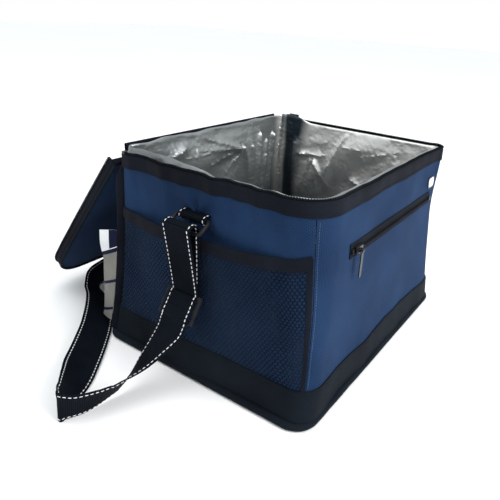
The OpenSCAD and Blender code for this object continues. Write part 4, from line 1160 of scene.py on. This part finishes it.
def end_wall(right, u, out, z):
    """Points over one end, so far outside the cloth. The right end counts u the other way."""
    place = 5 - u if right else u
    return wall(place, -out - drape(place, z), z)


def net_layer(right, low, high, rows, out):
    """A grid over the net from a lower to an upper line of heights, so far outside it."""
    z = low[:, None] + (high - low)[:, None] * np.linspace(0, 1, rows)
    u = np.broadcast_to(mesh_u[:, None], z.shape)
    return end_wall(right, u, 0.3 + out + mesh_out(u, z), z)


# %% Nets
net_high = mesh_top(mesh_u)
for side, right in (("left", False), ("right", True)):
    grid = net_layer(right, 0 * mesh_u + 39.6, net_high - 6, 70, 0.7)
    n, k = grid.shape[:2]
    i, j = pairs(np.arange(n - 1), np.arange(k - 1))
    quads = np.stack([i * k + j, i * k + j + 1, i * k + k + j + 1, i * k + k + j], -1).reshape(-1, 4)
    quads = quads if right else quads[:, ::-1]
    flat_uv = np.stack(pairs(girth(mesh_u) * MM, np.linspace(0, 0.13, k)), -1).reshape(-1, 2)
    net_mesh = add_mesh(side + "_net", grid.reshape(-1, 3), quads, flat_uv[quads])
    sheet = put(net_mesh, net_cloth, side + "_mesh")
    width = round(float(lengths(grid[:, k // 2])[-1]) * MM, 3)
    outer, inner = (net_layer(right, net_high - 13, net_high, 9, out) for out in (1.5, 0.0))
    normal = (outer - inner) / 1.5
    bulge = 0.5 * np.sin(np.linspace(0, np.pi, 9))[None, :, None]
    put(slab(side + "_net_binding", outer + normal * bulge, inner), black_tape, side + "_mesh_binding")
    edge_z = np.linspace(41, 164, 60)
    edge_u = np.full(60, MESH_U1 - 0.02)
    place = 5 - edge_u if right else edge_u
    edge_row = end_wall(right, edge_u, 1.3, edge_z), unit(wall(place, -2.0, edge_z) - wall(place, 0, edge_z))
    rows = [(outer[:, 2] + normal[:, 2] * 0.35, normal[:, 2]), edge_row]
    put(stitches(side + "_net_stitching", rows, pitch=3.2, dash=2.3, r=0.34), thread_black)
    hem_u, hem_z = pairs(places(MESH_U1 - 0.07, MESH_U1 + 0.02, 0.8), np.linspace(40, 176, 60))
    put(slab(side + "_net_hem", *(end_wall(right, hem_u, out, hem_z) for out in (1.2, 0.2))), black_tape)

# %% [markdown]
# ## Lid
# The lid is drawn shut, level above the rim, and then turned about the hinge line as the construction does
# it. Its cloth, foam and film are grids between the left and the right edge. A soft lid is never quite
# flat, so all of it bends by about a millimetre first.

# %% Lid shapes
HINGE_Y, HINGE_Z, LID_OPEN, LID_BACK = 133.5, 236.0, np.radians(231.0), 115.5


def thrown_open(points):
    """Points of the shut lid, bent a little and then turned about the hinge line."""
    p = np.array(points, float)
    far = HINGE_Y - p[..., 1]
    p[..., 2] += 1.2 * ease((far - 190) / 75) - 0.9 * np.sin(np.pi * np.clip(far / 264, 0, 1))
    y, z = p[..., 1] - HINGE_Y, p[..., 2] - HINGE_Z
    c, s = np.cos(-LID_OPEN), np.sin(-LID_OPEN)
    return np.stack([p[..., 0], HINGE_Y + y * c - z * s, HINGE_Z + y * s + z * c], -1)


def lid_slab(name, *sides):
    """A slab of the lid between two faces of the shut lid."""
    return slab(name, *(thrown_open(side) for side in sides))


def lid_rows(inset, finer=1):
    """Places inside the lid's outline: rows from the front edge to the back one, each from the left edge to
    the right one, which follow the corner circles near the front."""
    w, d = RIM_W / 2 - inset, RIM_D / 2 - inset
    t = np.linspace(0, 1, 56 * finer)
    y = mix(-d, LID_BACK, mix(t**1.6, t, t))
    left, right = (
        (w - r + np.sqrt(np.clip(r**2 - np.clip(r - (y + d), 0, r) ** 2, 0, None)))[:, None]
        for r in (RIM_R_LEFT - inset, RIM_R_RIGHT - inset)
    )
    x = mix(-left, right, np.linspace(0, 1, 70 * finer)[None])
    return x, np.broadcast_to(y[:, None], x.shape)


def lid_sheet(name, x, y, low, high, move):
    """A sheet of the lid between two heights. The move lifts both faces."""
    return lid_slab(name, *(np.stack([x, y, z + move], -1) for z in (high, low)))


def crown(x, y):
    """1 in the middle of the lid and 0 at its edges."""
    return (1 - np.clip(np.abs(x) / 155, 0, 1) ** 4) * np.sin(np.pi * np.clip((y + 128) / 243, 0, 1)) ** 0.5


# %% Lid cloth, foam and film
x, y = lid_rows(1.7)
lid_swell = crown(x, y) * (0.9 + 0.9 * waves(x, y, 91, 50, 140))
put(lid_sheet("lid_cloth", x, y, 247.0, 248.0, lid_swell), navy_cloth, "lid_panel", body="lid")
x, y = lid_rows(2.2)
put(lid_sheet("lid_padding", x, y, 242.4, 246.4, 0 * x), foam, "lid_foam", body="lid")
x, y = lid_rows(1.8, 2)
broad, small = waves(x, y, 93, 60, 160, 5), waves(x, y, 97, 24, 60, 4)
sag = -crown(x, y) * (3.4 - 2.0 * np.abs(broad).clip(0, 1.1) - 1.1 * np.abs(small).clip(0, 1.1))
lid_film = lid_sheet("lid_lining", x, y, 241.0, 241.6, sag)
# Painted shade: the lid film is painted darker along its creases, where its broad and small waves cross zero.
crease = crown(x, y) * (0.34 * np.exp(-((broad / 0.10) ** 2)) + 0.2 * np.exp(-((small / 0.12) ** 2)))
marked(lid_film, "painted_shade", np.concatenate([crease, crease[:, ::-1]], 1))
put(lid_film, silver_film, "lid_liner", body="lid")


# %% Lid edge
def section_sides(section, xs, offsets):
    """Two faces of a strip whose section of (y, z) points is carried along x, so far to either side of
    it."""
    normal = along_line(section)[:, ::-1] * [-1, 1]
    lines = [(section + normal * offset).T for offset in offsets]
    return [np.stack([*pairs(xs, y), pairs(xs, z)[1]], -1) for y, z in lines]


wrap = [
    (112.5, 248.6), (115.6, 248.6), (116.9, 247.4), (117.0, 244.5), (116.8, 241.6), (115.6, 240.4),
    (112.5, 240.4),
]
wrap_sides = section_sides(smooth(wrap, 0.8), np.linspace(-156.4, 156.4, 60), (0.0, -0.8))
put(lid_slab("lid_back_tape", *wrap_sides), black_tape, body="lid")
lid_u = places(0.003, 4.997, 2.2)


def lid_ring(inset, z):
    """A line along the lid's edge at a height above the shut rim."""
    line = wall(lid_u, inset, 230.0)
    line[:, 2] = z
    return line


def lid_band(insets, zs):
    """One face of a band round the lid's edge, with an inset for each height."""
    return np.stack([lid_ring(inset, z) for inset, z in zip(insets, zs)], 1)


skirt_z, bow = np.linspace(238.2, 246.8, 9), -0.7 * np.sin(np.linspace(0, np.pi, 9))
skirt = lid_slab("lid_skirt_tape", lid_band(bow, skirt_z), lid_band([1.2] * 9, skirt_z))
put(skirt, black_tape, "lid_skirt", body="lid")
piping_path = thrown_open(lid_ring(0.3, 248.5))
lid_cord = tube("lid_piping_cloth", piping_path, r=1.8, sides=8, closed=False, lumps=0.04)
put(lid_cord, black_cloth, "lid_piping", body="lid")
LID_COIL_Z = 236.6
lid_line = lid_ring(0.0, LID_COIL_Z)
lid_normal = unit(lid_ring(-2, LID_COIL_Z) - lid_ring(2, LID_COIL_Z))
open_line = thrown_open(lid_line)
open_out, open_up = (unit(thrown_open(lid_line + way) - open_line) for way in (lid_normal, UP))
lid_coil = coil("lid_coil", open_line, open_out, open_up, width=2.9, height=2.2)
put(lid_coil, zip_nylon, "lid_zip_coil", body="lid")
coil_tape = lid_slab("lid_coil_tape", *(lid_band([inset] * 2, (236.2, 238.8)) for inset in (-0.45, 0.45)))
put(coil_tape, black_tape, body="lid")
rows = [(thrown_open(lid_ring(inset, z)), open_out) for inset, z in ((-0.75, 245.0), (-0.5, 239.8))]
put(stitches("lid_stitching", rows, pitch=3.4, dash=2.4, r=0.32), thread_black, body="lid")

# %% [markdown]
# The strip between rim and lid is one piece of cloth that follows both. Its section runs up from the rim,
# over a small fold on the hinge line and down to the lid's panel.

# %% Hinge strip
turn = np.radians(np.linspace(180, 0, 15))
over = np.stack([133.4 + 1.55 * np.cos(turn), 235.0 + 1.55 * np.sin(turn)], -1)
down = [(134.95, z) for z in np.linspace(234.4, 214.6, 10)]
section = np.concatenate([[(130.9, 229.4), (131.1, 231.0), (131.5, 233.0)], over, down])
strip = slab("hinge_strip_tape", *section_sides(section, np.linspace(-142.5, 142.5, 80), (0.5, -0.5)))
hinge_piece = dressed(strip, black_tape, ["rim_hinge_strip", "lid_hinge_strip"])
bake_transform(hinge_piece)
print("hinge strip:", len(strip.polygons), "faces between bag and lid")

# %% [markdown]
# ## Hard parts
# Rings, sliders, pulls, clips and the base board keep the construction's own shapes, and only get a finish.
# The slide buckle is made again, because a moulded buckle has rounded edges: a plate of cells with a bevel.

# %% Hard finishes
plastic = Finish("black_plastic", Specular_IOR_Level=0.12)
cloud = plastic.cloud(0.012)
plastic.set(Base_Color=plastic.blend(cloud, (0.006, 0.006, 0.008), (0.016, 0.016, 0.019)))
plastic.set(Roughness=plastic.ramp(cloud, 0.30, 0.44))
plastic.bump(plastic.use("TexNoise", Vector=plastic.place, Scale=1800.0)[0], 0.15, 0.0002)

metal = Finish("dark_metal", Metallic=0.9)
cloud = metal.cloud(0.006)
metal.set(Base_Color=metal.blend(cloud, (0.030, 0.031, 0.034), (0.085, 0.086, 0.090)))
metal.set(Roughness=metal.ramp(cloud, 0.26, 0.45))
metal.bump(metal.use(ribs, Vector=metal.place, Pitch=0.0005, Slant=0.3)["Height"], 0.08, 0.0001)

board = Finish("grey_board", Roughness=0.85)
fibres = board.use("TexNoise", Vector=board.place, Scale=260.0, Detail=6.0)[0]
board.set(Base_Color=board.blend(fibres, (0.33, 0.31, 0.27), (0.62, 0.60, 0.55)))
board.bump(fibres, 0.4, 0.0004)

zip_metal = [f"{zip_name}_zip_{part}" for zip_name in ("main", "pocket") for part in ("slider", "pull")]
for finish, names in (
    (plastic, ["left_ring", "right_ring"]),
    (metal, [*zip_metal, "pocket_zip_stops", "rim_zip_stops"]),
    (board, ["base_board"]),
):
    for name in names:
        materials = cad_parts[name].data.materials
        materials.clear()
        materials.append(finish.material)
    print(finish.name, "on", names)

# %% Slide buckle
cells_x, cells_y = np.array([-24, -20, 20, 24.0]), np.array([0, 5, 12.5, 17.5, 25, 30.0])
spots = np.stack(pairs(cells_x, cells_y), -1).reshape(-1, 2)
solid = np.array([[1, 1, 1, 1, 1], [1, 0, 1, 0, 1], [1, 1, 1, 1, 1]])
index = np.arange(24).reshape(4, 6)
quads, walls = [], []
for a, b in np.argwhere(solid):
    loop = [index[a, b], index[a + 1, b], index[a + 1, b + 1], index[a, b + 1]]
    quads.append(loop)
    for (da, db), p, q in zip(((0, -1), (1, 0), (0, 1), (-1, 0)), loop, loop[1:] + loop[:1]):
        if not (0 <= a + da < 3 and 0 <= b + db < 5 and solid[a + da, b + db]):
            walls.append([p, q, q + 24, p + 24])
front = [[i + 24 for i in q] for q in quads]
plate = np.concatenate([at_buckle(spots[:, 1:2], h) + [0, 1, 0] * spots[:, :1] for h in (-1.7, 1.7)])
buckle_mesh = bpy.data.meshes.new("slide_buckle_plastic")
buckle_mesh.from_pydata((plate * MM).tolist(), [], [q[::-1] for q in quads] + front + walls)
buckle_piece = put(buckle_mesh, plastic, "slide_buckle")
rounding = buckle_piece.modifiers.new("rounding", "BEVEL")
rounding.width, rounding.segments, rounding.limit_method = 0.0013, 3, "ANGLE"
